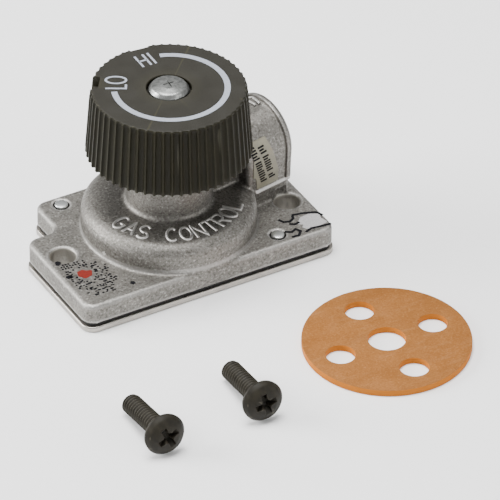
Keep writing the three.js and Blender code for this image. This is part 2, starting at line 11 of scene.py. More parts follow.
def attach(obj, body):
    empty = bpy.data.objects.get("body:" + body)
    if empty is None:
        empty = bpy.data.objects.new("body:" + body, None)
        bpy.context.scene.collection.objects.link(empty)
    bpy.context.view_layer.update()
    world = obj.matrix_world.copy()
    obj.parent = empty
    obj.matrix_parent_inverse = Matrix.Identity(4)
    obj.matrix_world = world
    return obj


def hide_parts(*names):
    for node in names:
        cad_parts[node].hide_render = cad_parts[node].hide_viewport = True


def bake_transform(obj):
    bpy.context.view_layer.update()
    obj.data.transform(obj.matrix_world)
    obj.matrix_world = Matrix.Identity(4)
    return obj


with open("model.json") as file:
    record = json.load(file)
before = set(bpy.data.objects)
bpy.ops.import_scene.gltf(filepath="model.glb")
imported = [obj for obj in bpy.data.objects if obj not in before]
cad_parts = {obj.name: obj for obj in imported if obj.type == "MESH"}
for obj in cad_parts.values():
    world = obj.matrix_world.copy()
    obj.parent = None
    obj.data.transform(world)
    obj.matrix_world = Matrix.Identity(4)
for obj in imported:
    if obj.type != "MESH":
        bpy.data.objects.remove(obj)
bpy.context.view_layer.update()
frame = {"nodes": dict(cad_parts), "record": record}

# Lengths in this script are millimetres, as in the CAD model. MM turns them into Blender's metres.
MM = 0.001
TAU = 2 * math.pi

# ---------- Dimensions, the CAD model's own ----------

LEFT, RIGHT, FRONT, BACK = -42.4, 42.9, -26.8, 28.2
NOTCH_X, NOTCH_Y = -31.5, 12.8
CORNER_R, NOTCH_FILLET_R = 3.6, 3.0
PLATE_TOP, FLANGE_BOTTOM, FLANGE_TOP = 1.9, 3.1, 9.4
NECK_TOP, NECK_R = 37.2, 13.1
EDGE_ROUND = 1.2
BOSS_TURN = math.radians(10.5)
BOSS_Z, BOSS_R, BOSS_BODY_R = 26.2, 12.5, 12.0
BOSS_REACH, COLLAR_LENGTH = 38.4, 2.2
BOSS_START, BOSS_PIPE_R = 21.5, 7.4
SKIRT_CUT_R, SKIRT_CUT_Z = 26.2, 36.1
FLAT_U, FLAT_V, FLAT_R, FLAT_Z = 21.7, 2.3, 14.0, 37.7
FOOT_TOP, FOOT_HALF_WIDTH = 15.2, 11.0
PORT_R, PORT_DEPTH, PASSAGE_R = 7.5, 15.5, 4.4
SCREW_HOLES = [(-36.0, 0.6), (36.6, -7.9)]
SCREW_HOLE_R = 3.95
RIVETS = {"rivet_rear_left": (-24.1, 23.8), "rivet_front_right": (25.5, -21.6)}
RIVET_HEAD_R, RIVET_SHANK_R, RIVET_POCKET_R = 2.05, 1.6, 2.45
PORT_CIRCLE_R, PLATE_PORT_R = 15.9, 3.75
PLENUM_R, SEAT_BORE_R = 22.3, 7.0
CHAMBER_BOTTOM, CHAMBER_R = 19.0, 8.3
BONNET_BORE_R, BONNET_BORE_Z = 9.3, 33.0
KEYWAY_R, KEYWAY_WIDTH = 9.9, 3.8
KNOB_BOTTOM, KNOB_TOP = 36.6, 58.9
KNOB_BOTTOM_R, KNOB_TOP_R = 25.2, 23.5
FLUTES, FLUTE_DEPTH = 57, 0.85
KNOB_WALL, KNOB_CEILING = 2.6, 55.2
KNOB_RECESS_R, KNOB_RECESS_Z = 6.75, 56.7
HUB_R, HUB_BOTTOM = 8.0, 46.3
RIM_POCKETS = [(144.5, 20.9), (84.5, 22.0)]  # direction in degrees, and the flat wall's distance out
POCKET_HALF, POCKET_DEPTH = 2.9, 3.4
GASKET_AT, GASKET_R, GASKET_THICK = (32.7, -74.0), 25.4, 2.1
GASKET_CENTRE_R, GASKET_PORT_R = 5.7, 4.45
SCREW_R, SCREW_LENGTH = 3.17, 21.3
SCREW_HEAD_R, SCREW_HEAD_HEIGHT = 6.4, 3.8
KIT_SCREWS = {
    "mounting_screw_1": (-49.9, -86.2, -1.6),
    "mounting_screw_2": (-17.3, -86.3, -3.7),
}


# ---------- Camera ----------

def make_camera():
    """Looks down on the valve from the front left, far away through a long lens."""
    data = bpy.data.cameras.new("camera")
    data.lens = 432.0
    data.sensor_width = 36.0
    camera = bpy.data.objects.new("camera", data)
    bpy.context.scene.collection.objects.link(camera)
    place = Vector((-713.5, -1280.8, 1075.6)) * MM
    target = Vector((21.07, -12.64, -0.52)) * MM
    tilt = Matrix.Rotation(math.radians(0.55), 4, "Z")
    aim = (target - place).to_track_quat("-Z", "Y").to_matrix().to_4x4()
    camera.matrix_world = Matrix.Translation(place) @ aim @ tilt
    bpy.context.scene.camera = camera


make_camera()


# ---------- Mesh helpers ----------

def piece(name, verts, faces, material, body, slot, replaces=(), smooth=True, crease_deg=40):
    """A mesh object from millimetre points, riding on a CAD body."""
    mesh = bpy.data.meshes.new(name)
    points = (np.asarray(verts, float) * MM).tolist()
    mesh.from_pydata(points, [], [tuple(int(i) for i in f) for f in faces])
    mesh.validate()
    return finish_piece(name, mesh, material, body, slot, replaces, smooth, crease_deg)


def finish_piece(name, mesh, material, body, slot, replaces=(), smooth=True, crease_deg=40):
    if smooth:
        mesh.shade_smooth()
        mesh.set_sharp_from_angle(angle=math.radians(crease_deg))
    mesh.materials.clear()
    mesh.materials.append(material)
    obj = bpy.data.objects.new(name, mesh)
    bpy.context.scene.collection.objects.link(obj)
    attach(obj, body)
    if replaces:
        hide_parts(*replaces)
    return obj


def rounded(points, closed=True, steps=6):
    """A 2-D path with its corners rounded. Each point is (x, y, radius)."""
    out = []
    count = len(points)
    for i, (x, y, r) in enumerate(points):
        here = np.array([x, y], float)
        if r == 0 or (not closed and i in (0, count - 1)):
            out.append(here)
            continue
        before = np.array(points[i - 1][:2], float) - here
        after = np.array(points[(i + 1) % count][:2], float) - here
        a, b = before / np.linalg.norm(before), after / np.linalg.norm(after)
        half = math.acos(np.clip(a @ b, -1, 1)) / 2
        reach = r / math.tan(half)
        centre = here + (a + b) / np.linalg.norm(a + b) * r / math.sin(half)
        start, end = here + a * reach - centre, here + b * reach - centre
        first = math.atan2(start[1], start[0])
        sweep = (math.atan2(end[1], end[0]) - first + math.pi) % TAU - math.pi
        for k in range(steps + 1):
            t = first + sweep * k / steps
            out.append(centre + r * np.array([math.cos(t), math.sin(t)]))
    return np.array(out)


def outline(grow=0.0, steps=8):
    """The casting's outline from above, grown outward."""
    convex, concave = CORNER_R + grow, NOTCH_FILLET_R - grow
    x0, x1, y0, y1 = LEFT - grow, RIGHT + grow, FRONT - grow, BACK + grow
    nx, ny = NOTCH_X - grow, NOTCH_Y + grow
    corners = [
        (x0, y0, convex), (x1, y0, convex), (x1, y1, convex),
        (nx, y1, convex), (nx, ny, concave), (x0, ny, convex),
    ]
    return rounded(corners, steps=steps)


def circle(radius, x=0.0, y=0.0, count=96):
    turn = np.arange(count) / count * TAU
    return np.stack([x + radius * np.cos(turn), y + radius * np.sin(turn)], 1)


def revolve(profile, segments=96, loop=False):
    """Turns an (r, z) profile about Z. An open profile starts and ends on the axis."""
    verts, rings = [], []
    for r, z in profile:
        if r < 1e-6:
            rings.append([len(verts)] * segments)
            verts.append((0, 0, z))
            continue
        rings.append(list(range(len(verts), len(verts) + segments)))
        for k in range(segments):
            t = k / segments * TAU
            verts.append((r * math.cos(t), r * math.sin(t), z))
    faces = []
    pairs = list(zip(rings, rings[1:] + rings[:1])) if loop else list(zip(rings, rings[1:]))
    for low, high in pairs:
        for k in range(segments):
            n = (k + 1) % segments
            quad = [low[k], low[n], high[n], high[k]]
            ring = list(dict.fromkeys(quad))
            if len(ring) > 2:
                faces.append(ring)
    return np.array(verts, float), faces


def moved(verts, x=0.0, y=0.0, z=0.0):
    return np.asarray(verts) + np.array([x, y, z])


def sheet_mesh(name, outer, holes, bottom, top, edge):
    """A flat sheet with holes, all its edges rounded by the given radius."""
    curve = bpy.data.curves.new(name, "CURVE")
    curve.dimensions = "2D"
    curve.fill_mode = "BOTH"
    for ring in [outer, *holes]:
        spline = curve.splines.new("POLY")
        spline.points.add(len(ring) - 1)
        for point, (x, y) in zip(spline.points, ring):
            point.co = (x, y, 0, 1)
        spline.use_cyclic_u = True
    curve.extrude = (top - bottom) / 2 - edge
    curve.bevel_depth = edge
    curve.bevel_resolution = 2
    curve.offset = -edge
    obj = bpy.data.objects.new(name, curve)
    bpy.context.scene.collection.objects.link(obj)
    bpy.context.view_layer.update()
    mesh = bpy.data.meshes.new_from_object(obj.evaluated_get(bpy.context.evaluated_depsgraph_get()))
    bpy.data.objects.remove(obj)
    bpy.data.curves.remove(curve)
    bm = bmesh.new()
    bm.from_mesh(mesh)
    bmesh.ops.remove_doubles(bm, verts=bm.verts, dist=0.01)
    bmesh.ops.recalc_face_normals(bm, faces=bm.faces)
    bmesh.ops.translate(bm, verts=bm.verts, vec=(0, 0, (top + bottom) / 2))
    bmesh.ops.scale(bm, verts=bm.verts, vec=(MM, MM, MM))
    bm.to_mesh(mesh)
    bm.free()
    return mesh


def cut_mesh(mesh, tools):
    """Cuts closed tool meshes, given as (verts, faces) in millimetres, out of a mesh."""
    scratch = bpy.data.objects.new("cut_target", mesh)
    bpy.context.scene.collection.objects.link(scratch)
    made = []
    for verts, faces in tools:
        tool_mesh = bpy.data.meshes.new("cut_tool")
        tool_mesh.from_pydata((np.asarray(verts) * MM).tolist(), [], faces)
        tool = bpy.data.objects.new("cut_tool", tool_mesh)
        bpy.context.scene.collection.objects.link(tool)
        cut = scratch.modifiers.new("cut", "BOOLEAN")
        cut.operation = "DIFFERENCE"
        cut.solver = "EXACT"
        cut.object = tool
        made.append(tool)
    bpy.context.view_layer.update()
    result = bpy.data.meshes.new_from_object(
        scratch.evaluated_get(bpy.context.evaluated_depsgraph_get())
    )
    for obj in [scratch, *made]:
        bpy.data.objects.remove(obj)
    return result


def sweep(path, side, up, section, closed=False):
    """Carries a 2-D section along a path. side and up are unit vectors at each path point."""
    count, ring = len(path), len(section)
    verts = [
        p + s * a + u * b
        for p, s, u in zip(path, side, up)
        for a, b in section
    ]
    faces = []
    for i in range(count if closed else count - 1):
        j = (i + 1) % count
        for k in range(ring):
            n = (k + 1) % ring
            faces.append((i * ring + k, i * ring + n, j * ring + n, j * ring + k))
    if not closed:
        faces.append(tuple(range(ring))[::-1])
        faces.append(tuple((count - 1) * ring + k for k in range(ring)))
    return verts, faces


class Parts:
    """Collects several closed solids into one mesh."""

    def __init__(self):
        self.verts, self.faces = [], []

    def add(self, verts, faces):
        start = len(self.verts)
        self.verts.extend(tuple(map(float, v)) for v in verts)
        self.faces.extend(tuple(start + i for i in f) for f in faces)


# ---------- Stroke lettering ----------

def arc_points(cx, cy, rx, ry, start_deg, end_deg, count=14):
    turns = np.radians(np.linspace(start_deg, end_deg, count))
    return [(cx + rx * math.cos(t), cy + ry * math.sin(t)) for t in turns]


# Each letter is a list of strokes in a box one unit wide and one unit high.
LETTERS = {
    "A": [[(0, 0), (0.5, 1), (1, 0)], [(0.2, 0.36), (0.8, 0.36)]],
    "C": [arc_points(0.52, 0.5, 0.5, 0.5, 50, 310)],
    "G": [arc_points(0.52, 0.5, 0.5, 0.5, 50, 318) + [(0.98, 0.45), (0.58, 0.45)]],
    "H": [[(0, 0), (0, 1)], [(1, 0), (1, 1)], [(0, 0.5), (1, 0.5)]],
    "I": [[(0, 0), (0, 1)]],
    "L": [[(0, 1), (0, 0), (0.85, 0)]],
    "N": [[(0, 0), (0, 1), (1, 0), (1, 1)]],
    "O": [arc_points(0.5, 0.5, 0.5, 0.5, 90, 450, 28)],
    "R": [
        [(0, 0), (0, 1)] + arc_points(0.58, 0.74, 0.4, 0.26, 90, -90) + [(0, 0.48)],
        [(0.5, 0.48), (1, 0)],
    ],
    "S": [arc_points(0.5, 0.74, 0.46, 0.26, 25, 270, 12) + arc_points(0.5, 0.24, 0.48, 0.26, 90, -150, 12)],
    "T": [[(0.5, 0), (0.5, 1)], [(0, 1), (1, 1)]],
}


def resample(points, spacing):
    """Points along a polyline, no further apart than the spacing, its corners kept."""
    out = [np.array(points[0], float)]
    for a, b in zip(points, points[1:]):
        a, b = np.array(a, float), np.array(b, float)
        steps = max(1, math.ceil(np.linalg.norm(b - a) / spacing))
        out.extend(a + (b - a) * k / steps for k in range(1, steps + 1))
    return out


def stroke_solid(parts, points, section, lay):
    """Sweeps a section along a flat stroke. lay turns a flat point into (place, normal) on the surface."""
    flat = np.array(points)
    closed = np.linalg.norm(flat[0] - flat[-1]) < 1e-6
    if closed:
        flat = flat[:-1]
    placed = [lay(p) for p in flat]
    path = [np.array(p, float) for p, _ in placed]
    up = [np.array(n, float) for _, n in placed]
    side = []
    count = len(path)
    for i in range(count):
        before = path[i - 1] if (i or closed) else path[i]
        after = path[(i + 1) % count] if (i < count - 1 or closed) else path[i]
        along = (after - before) / np.linalg.norm(after - before)
        across = np.cross(up[i], along)
        a = path[i] - before
        b = after - path[i]
        bend = 1.0
        if np.linalg.norm(a) > 0 and np.linalg.norm(b) > 0:
            cosine = np.clip(a @ b / np.linalg.norm(a) / np.linalg.norm(b), -0.2, 1)
            bend = 1 / math.sqrt((1 + cosine) / 2)
        side.append(across / np.linalg.norm(across) * bend)
    parts.add(*sweep(path, side, up, section, closed))


# ---------- Material helpers ----------

class Finish:
    """A material being built: a node tree with one Principled shader."""

    def __init__(self, name, roughness=0.5, metallic=0.0, colour=(0.5, 0.5, 0.5), **sockets):
        self.material = bpy.data.materials.new(name)
        self.material.use_nodes = True
        self.tree = self.material.node_tree
        self.shader = self.tree.nodes["Principled BSDF"]
        self.shader.inputs["Roughness"].default_value = roughness
        self.shader.inputs["Metallic"].default_value = metallic
        self.shader.inputs["Base Color"].default_value = (*colour, 1)
        for label, value in sockets.items():
            self.shader.inputs[label.replace("_", " ")].default_value = value
        where = self.tree.nodes.new("ShaderNodeTexCoord")
        scale, shift = (1 / MM,) * 3, (137.3, 91.7, 53.1)
        spot = self.node(
            "ShaderNodeVectorMath", {0: where.outputs["Object"], 1: scale, 2: shift}, operation="MULTIPLY_ADD"
        )
        self.mm = spot.outputs[0]
        self.place = self.node(
            "ShaderNodeVectorMath", {0: where.outputs["Object"], 1: scale}, operation="MULTIPLY"
        ).outputs[0]

    def node(self, kind, inputs=None, **settings):
        made = self.tree.nodes.new(kind)
        for key, value in settings.items():
            setattr(made, key, value)
        for key, value in (inputs or {}).items():
            self.feed(made.inputs[key], value)
        return made

    def feed(self, socket, value):
        if isinstance(value, bpy.types.NodeSocket):
            self.tree.links.new(value, socket)
        else:
            socket.default_value = value

    def stretched(self, x, y, z):
        return self.node("ShaderNodeVectorMath", {0: self.mm, 1: (x, y, z)}, operation="MULTIPLY").outputs[0]

    def noise(self, size, detail=3.0, roughness=0.55, distortion=0.0, vector=None):
        """Soft noise whose blotches are about the given size in millimetres."""
        made = self.node(
            "ShaderNodeTexNoise",
            {
                "Vector": self.mm if vector is None else vector,
                "Scale": 1 / size, "Detail": detail, "Roughness": roughness, "Distortion": distortion,
            },
        )
        return made.outputs["Fac"]

    def cells(self, size, feature="F1"):
        made = self.node("ShaderNodeTexVoronoi", {"Vector": self.mm, "Scale": 1 / size}, feature=feature)
        return made.outputs["Distance"]

    def ramp(self, fac, stops, interpolation="LINEAR"):
        made = self.node("ShaderNodeValToRGB", {"Fac": fac})
        made.color_ramp.interpolation = interpolation
        elements = made.color_ramp.elements
        while len(elements) < len(stops):
            elements.new(0.5)
        for element, (place, colour) in zip(elements, stops):
            element.position = place
            shade = (colour,) * 3 if isinstance(colour, (int, float)) else colour
            element.color = (*shade, 1)
        return made.outputs["Color"]

    def mix(self, fac, a, b, blend="MIX"):
        made = self.node("ShaderNodeMix", data_type="RGBA", blend_type=blend)
        self.feed(made.inputs[0], fac)
        for socket, value in ((made.inputs[6], a), (made.inputs[7], b)):
            self.feed(socket, value if isinstance(value, bpy.types.NodeSocket) else (*value, 1))
        return made.outputs[2]

    def maths(self, operation, a, b=0.0, clamp=False):
        return self.node("ShaderNodeMath", {0: a, 1: b}, operation=operation, use_clamp=clamp).outputs[0]

    def along(self, x, y, z):
        """Distance in millimetres from the origin along a direction."""
        return self.node("ShaderNodeVectorMath", {0: self.place, 1: (x, y, z)}, operation="DOT_PRODUCT").outputs["Value"]

    def away(self, x, y):
        """Distance in millimetres from an upright axis."""
        flat = self.node("ShaderNodeVectorMath", {0: self.place, 1: (1, 1, 0)}, operation="MULTIPLY").outputs[0]
        return self.node("ShaderNodeVectorMath", {0: flat, 1: (x, y, 0)}, operation="DISTANCE").outputs["Value"]

    def band(self, distance, centre, half, amount):
        """The amount within half a width of a distance, fading to 0 just outside it."""
        off = self.maths("ABSOLUTE", self.maths("SUBTRACT", distance, centre))
        return self.ramp(off, [(half * 0.6, amount), (half * 1.4, 0.0)])

    def bump(self, height, depth, normal=None, strength=1.0):
        """Relief of the given depth in millimetres, for a height between 0 and 1."""
        made = self.node("ShaderNodeBump", {"Height": height, "Distance": depth * MM, "Strength": strength})
        if normal is not None:
            self.feed(made.inputs["Normal"], normal)
        return made.outputs["Normal"]

    def edge_wear(self, low=0.5, high=0.56):
        """0 on flat and hollow places, 1 on outward edges."""
        point = self.node("ShaderNodeNewGeometry").outputs["Pointiness"]
        return self.ramp(point, [(low, 0.0), (high, 1.0)])

    def colour(self, value):
        self.feed(self.shader.inputs["Base Color"], value)

    def roughness(self, value):
        self.feed(self.shader.inputs["Roughness"], value)

    def normal(self, value):
        self.feed(self.shader.inputs["Normal"], value)


def cast_metal():
    """Die-cast aluminium: grey, coarsely grained, faintly mottled, brighter where edges are rubbed; painted shade at
    the boss's collar and round the rivets, painted highlights at the dome's foot and the boss's ledge, and painted
    light in the screw holes.
    """
    m = Finish("cast_aluminium", metallic=1.0)
    blotch = m.noise(14, detail=4, distortion=0.4)
    cloud = m.noise(3.0, detail=4)
    grain = m.noise(0.7, detail=3, roughness=0.65)
    fine = m.noise(0.28, detail=1)
    base = m.ramp(blotch, [(0.3, (0.160, 0.152, 0.138)), (0.5, (0.182, 0.174, 0.158)), (0.72, (0.21, 0.198, 0.179))])
    base = m.mix(m.ramp(cloud, [(0.42, 0.0), (0.75, 0.4)]), base, (0.26, 0.25, 0.232))
    base = m.mix(m.ramp(grain, [(0.34, 0.7), (0.48, 0.0)]), base, (0.07, 0.065, 0.057))
    base = m.mix(m.ramp(grain, [(0.56, 0.0), (0.7, 0.55)]), base, (0.50, 0.49, 0.465))
    base = m.mix(m.edge_wear(0.51, 0.58), base, (0.54, 0.53, 0.51))
    boss_u = m.along(math.cos(BOSS_TURN), math.sin(BOSS_TURN), 0)
    on_boss_only = m.maths("GREATER_THAN", m.along(0, 0, 1), FOOT_TOP + 0.5)
    # Painted shade: a dark line in the crease behind the collar's step, and another just inside its lip, on the boss
    # only.
    collar_step_painted_shade = m.maths("MULTIPLY", m.band(boss_u, BOSS_REACH - COLLAR_LENGTH - 0.1, 0.3, 0.75), on_boss_only)
    base = m.mix(collar_step_painted_shade, base, (0.05, 0.046, 0.04))
    collar_lip_painted_shade = m.maths("MULTIPLY", m.band(boss_u, BOSS_REACH - 0.9, 0.2, 0.5), on_boss_only)
    base = m.mix(collar_lip_painted_shade, base, (0.07, 0.066, 0.06))
    # Painted highlight: a lighter ring along the fillet where the dome meets the flange, standing in for the left
    # light's reflection.
    fillet_height = m.band(m.along(0, 0, 1), FLANGE_TOP + 1.0, 0.7, 1.0)
    dome_foot_painted_highlight = m.maths("MULTIPLY", m.band(m.away(0, 0), 26.9, 0.5, 0.4), fillet_height)
    base = m.mix(dome_foot_painted_highlight, base, (0.52, 0.51, 0.49))
    # Painted highlight: a light line along the foot's top edge beside the boss.
    boss_v = m.maths("ABSOLUTE", m.along(-math.sin(BOSS_TURN), math.cos(BOSS_TURN), 0))
    ledge_painted_highlight = m.maths("MULTIPLY", m.band(boss_v, FOOT_HALF_WIDTH + 0.6, 0.9, 1.0),
                    m.band(m.along(0, 0, 1), FOOT_TOP + 0.35, 0.45, 0.7))
    ledge_painted_highlight = m.maths("MULTIPLY", ledge_painted_highlight, m.maths("GREATER_THAN", boss_u, 24.5))
    base = m.mix(ledge_painted_highlight, base, (0.62, 0.61, 0.59))
    # Painted shadow: a dark ring in the gap round each rivet head.
    for x, y in RIVETS.values():
        base = m.mix(m.band(m.away(x, y), RIVET_HEAD_R + 0.2, 0.25, 0.85), base, (0.03, 0.028, 0.025))
    # Painted light: the screw holes' walls, below the flange top, are lightened to look lit.
    below_top = m.maths("LESS_THAN", m.along(0, 0, 1), FLANGE_TOP + 0.2)
    for x, y in SCREW_HOLES:
        inside = m.maths("MULTIPLY", m.maths("LESS_THAN", m.away(x, y), SCREW_HOLE_R + 0.2), below_top)
        base = m.mix(inside, base, (0.42, 0.40, 0.36))
    m.colour(base)
    m.roughness(m.ramp(cloud, [(0.3, 0.48), (0.7, 0.60)]))
    rough_skin = m.bump(grain, 0.12)
    m.normal(m.bump(fine, 0.02, normal=rough_skin, strength=0.7))
    return m.material


def plated_steel(name="plated_steel", shade=(0.72, 0.72, 0.71), along=(0.15, 2.0, 2.0)):
    """Bright zinc plate with fine rolling lines and dull patches."""
    m = Finish(name, metallic=1.0)
    lines = m.noise(0.5, detail=2, vector=m.stretched(*along))
    patch = m.noise(6, detail=3)
    dull = tuple(c * 0.8 for c in shade)
    m.colour(m.mix(m.ramp(patch, [(0.35, 0.0), (0.7, 1.0)]), shade, dull))
    m.roughness(m.ramp(patch, [(0.3, 0.24), (0.7, 0.4)]))
    m.normal(m.bump(lines, 0.008, strength=0.5))
    return m.material


def zinc_screw():
    """Dull zinc with cloudy stains."""
    m = Finish("zinc_screw", metallic=0.9)
    cloud = m.noise(1.6, detail=4, distortion=0.6)
    m.colour(m.ramp(cloud, [(0.3, (0.13, 0.135, 0.13)), (0.5, (0.27, 0.275, 0.265)), (0.7, (0.44, 0.45, 0.44))]))
    m.roughness(m.ramp(cloud, [(0.3, 0.42), (0.7, 0.24)]))
    m.normal(m.bump(m.noise(0.4), 0.02, strength=0.5))
    return m.material


def brass():
    """Turned brass with fine tool rings."""
    m = Finish("brass", metallic=1.0)
    rings = m.noise(0.4, detail=2, vector=m.stretched(0.05, 0.05, 3.0))
    patch = m.noise(5, detail=3)
    m.colour(m.mix(m.ramp(patch, [(0.3, 0.0), (0.7, 1.0)]), (0.78, 0.60, 0.28), (0.62, 0.46, 0.21)))
    m.roughness(m.ramp(patch, [(0.3, 0.26), (0.7, 0.42)]))
    m.normal(m.bump(rings, 0.01, strength=0.6))
    return m.material


def rubber():
    """Matte black sheet with a fine pebble."""
    m = Finish("black_rubber")
    pebble = m.noise(0.35, detail=2)
    paler_patches = m.noise(4, detail=4)
    m.colour(m.ramp(paler_patches, [(0.35, (0.006, 0.0055, 0.005)), (0.7, (0.016, 0.015, 0.013))]))
    m.roughness(m.ramp(pebble, [(0.3, 0.6), (0.7, 0.8)]))
    m.normal(m.bump(pebble, 0.03))
    return m.material


def knob_plastic():
    """Brown-black moulded phenolic: a fine spark texture, with painted light making faces that look up slightly paler.
    """
    m = Finish("knob_plastic", Specular_IOR_Level=0.12)
    spark = m.noise(0.28, detail=2, roughness=0.6)
    handled = m.noise(7, detail=4)
    base = m.ramp(handled, [(0.3, (0.0085, 0.0076, 0.0032)), (0.7, (0.0135, 0.0121, 0.0056))])
    # Painted light: faces that look up are made paler, patchy with the handled noise.
    facing = m.node("ShaderNodeSeparateXYZ", {0: m.node("ShaderNodeNewGeometry").outputs["Normal"]}).outputs[2]
    paler_patches = m.maths("MULTIPLY", m.ramp(facing, [(0.6, 0.0), (0.95, 1.0)]), m.ramp(handled, [(0.3, 0.7), (0.7, 1.0)]))
    base = m.mix(paler_patches, base, (0.0312, 0.0298, 0.0262))
    base = m.mix(m.ramp(spark, [(0.35, 0.5), (0.6, 0.0)]), base, (0.0088, 0.0078, 0.0038))
    base = m.mix(m.edge_wear(0.52, 0.62), base, (0.036, 0.034, 0.023))
    m.colour(base)
    m.roughness(m.ramp(handled, [(0.3, 0.42), (0.7, 0.54)]))
    m.normal(m.bump(spark, 0.035, strength=0.8))
    return m.material


def print_paint(name, colour, speck, gloss=0.5):
    """Printed or brushed colour, thin and slightly mottled."""
    m = Finish(name, Specular_IOR_Level=gloss)
    mottle = m.noise(0.5, detail=3)
    m.colour(m.mix(m.ramp(mottle, [(0.35, 0.0), (0.65, 1.0)]), colour, speck))
    m.roughness(m.ramp(mottle, [(0.3, 0.5), (0.7, 0.65)]))
    m.normal(m.bump(mottle, 0.01))
    return m.material


def gasket_sheet():
    """Tan fibre sheet: fine flecks, faint diagonal press marks, and a painted highlight that makes the cut edge a
    brighter orange.
    """
    m = Finish("gasket_sheet", Specular_IOR_Level=0.1)
    fleck = m.noise(0.5, detail=3)
    cloud = m.noise(9, detail=4, distortion=0.8)
    streak = m.noise(1.4, detail=3, vector=m.stretched(0.16, 1.0, 1.0))
    base = m.ramp(cloud, [(0.3, (0.200, 0.076, 0.017)), (0.55, (0.228, 0.091, 0.023)), (0.75, (0.250, 0.104, 0.031))])
    base = m.mix(m.ramp(fleck, [(0.3, 0.5), (0.5, 0.0)]), base, (0.14, 0.050, 0.010))
    base = m.mix(m.ramp(fleck, [(0.56, 0.0), (0.72, 0.4)]), base, (0.34, 0.165, 0.062))
    base = m.mix(m.ramp(streak, [(0.55, 0.0), (0.75, 0.2)]), base, (0.33, 0.17, 0.075))
    facing = m.node("ShaderNodeSeparateXYZ", {0: m.node("ShaderNodeNewGeometry").outputs["Normal"]}).outputs[2]
    # Painted highlight: the side faces of the cut edge are mixed to a brighter orange.
    side = m.ramp(m.maths("ABSOLUTE", facing), [(0.3, 1.0), (0.9, 0.0)])
    m.colour(m.mix(side, base, (0.42, 0.135, 0.014)))
    m.roughness(m.ramp(cloud, [(0.3, 0.6), (0.7, 0.75)]))
    m.normal(m.bump(fleck, 0.03, strength=0.7))
    return m.material


def black_oxide():
    """Black oxide steel, almost matte, with brown bloom and worn edges."""
    m = Finish("black_steel", metallic=0.0, Specular_IOR_Level=0.16)
    bloom = m.noise(2.4, detail=4)
    grain = m.noise(0.35, detail=2)
    base = m.ramp(bloom, [(0.3, (0.008, 0.0067, 0.0042)), (0.7, (0.019, 0.0165, 0.011))])
    base = m.mix(m.edge_wear(0.51, 0.6), base, (0.045, 0.040, 0.030))
    m.colour(base)
    m.roughness(m.ramp(bloom, [(0.3, 0.48), (0.7, 0.62)]))
    m.normal(m.bump(grain, 0.03, strength=0.8))
    return m.material


def label_film():
    """Cream printed film, stained at one end and slightly crinkled."""
    m = Finish("label_film")
    stain = m.noise(5, detail=4, distortion=0.5)
    fibre_grain = m.noise(0.5, detail=3)
    base = m.ramp(stain, [(0.3, (0.16, 0.15, 0.105)), (0.6, (0.22, 0.205, 0.15)), (0.8, (0.20, 0.135, 0.08))])
    m.colour(m.mix(m.ramp(fibre_grain, [(0.3, 0.3), (0.6, 0.0)]), base, (0.13, 0.125, 0.09)))
    m.roughness(m.ramp(stain, [(0.3, 0.4), (0.7, 0.55)]))
    m.normal(m.bump(m.noise(2.5, detail=2), 0.05))
    return m.material


def fibre():
    m = Finish("fibre")
    fleck = m.noise(0.4, detail=4)
    m.colour(m.ramp(fleck, [(0.3, (0.17, 0.10, 0.05)), (0.7, (0.33, 0.21, 0.11))]))
    m.roughness(m.ramp(fleck, [(0.3, 0.7), (0.7, 0.85)]))
    m.normal(m.bump(fleck, 0.03))
    return m.material


def floor_paint():
    m = Finish("floor", Specular_IOR_Level=0.2)
    cloud = m.noise(60, detail=2)
    m.colour(m.ramp(cloud, [(0.3, (0.86, 0.86, 0.86)), (0.7, (0.88, 0.88, 0.88))]))
    m.roughness(m.ramp(cloud, [(0.3, 0.75), (0.7, 0.8)]))
    return m.material


CAST = cast_metal()
PLATED = plated_steel(shade=(0.42, 0.395, 0.36))
RIVET_METAL = plated_steel("rivet_metal", (0.70, 0.72, 0.71), (1.0, 1.0, 1.0))
SPRING_STEEL = plated_steel("spring_steel", (0.45, 0.45, 0.46), (1.0, 1.0, 1.0))
ZINC = zinc_screw()
BRASS = brass()
RUBBER = rubber()
KNOB = knob_plastic()
WHITE_PRINT = print_paint("dial_print", (0.30, 0.32, 0.37), (0.24, 0.26, 0.30))
BLACK_INK = print_paint("black_ink", (0.003, 0.003, 0.004), (0.006, 0.006, 0.008), gloss=0.1)
RED_PAINT = print_paint("red_paint", (0.165, 0.009, 0.004), (0.10, 0.010, 0.006), gloss=0.2)
WHITE_PAINT = print_paint("white_paint", (0.38, 0.37, 0.37), (0.28, 0.27, 0.27))
GASKET = gasket_sheet()
BLACK_STEEL = black_oxide()
LABEL = label_film()
FIBRE = fibre()


# ---------- The casting, from a distance field ----------

def polygon_field(ring, x, y):
    """Signed distance to a closed 2-D polygon, negative inside."""
    nearest = np.full(np.broadcast(x, y).shape, np.inf)
    inside = np.zeros(nearest.shape, bool)
    for (ax, ay), (bx, by) in zip(ring, np.roll(ring, -1, axis=0)):
        ex, ey = bx - ax, by - ay
        length = ex * ex + ey * ey
        if length < 1e-12:
            continue
        t = np.clip(((x - ax) * ex + (y - ay) * ey) / length, 0, 1)
        nearest = np.minimum(nearest, (x - ax - t * ex) ** 2 + (y - ay - t * ey) ** 2)
        crosses = ((ay > y) != (by > y)) & (x < ex * (y - ay) / (ey if ey else 1e-12) + ax)
        inside ^= crosses
    return np.where(inside, -1.0, 1.0) * np.sqrt(nearest)


def meet(a, b, radius):
    """Where both solids are, with the edge between them rounded."""
    outer = np.sqrt(np.maximum(a + radius, 0) ** 2 + np.maximum(b + radius, 0) ** 2)
    return np.minimum(np.maximum(a, b) + radius, 0) + outer - radius


def blend_join(a, b, fillet):
    """Either solid, with a fillet where they join."""
    h = np.clip(0.5 + 0.5 * (b - a) / fillet, 0, 1)
    return b + (a - b) * h - fillet * h * (1 - h)


def step_up(low, high, value):
    t = np.clip((value - low) / (high - low), 0, 1)
    return t * t * (3 - 2 * t)


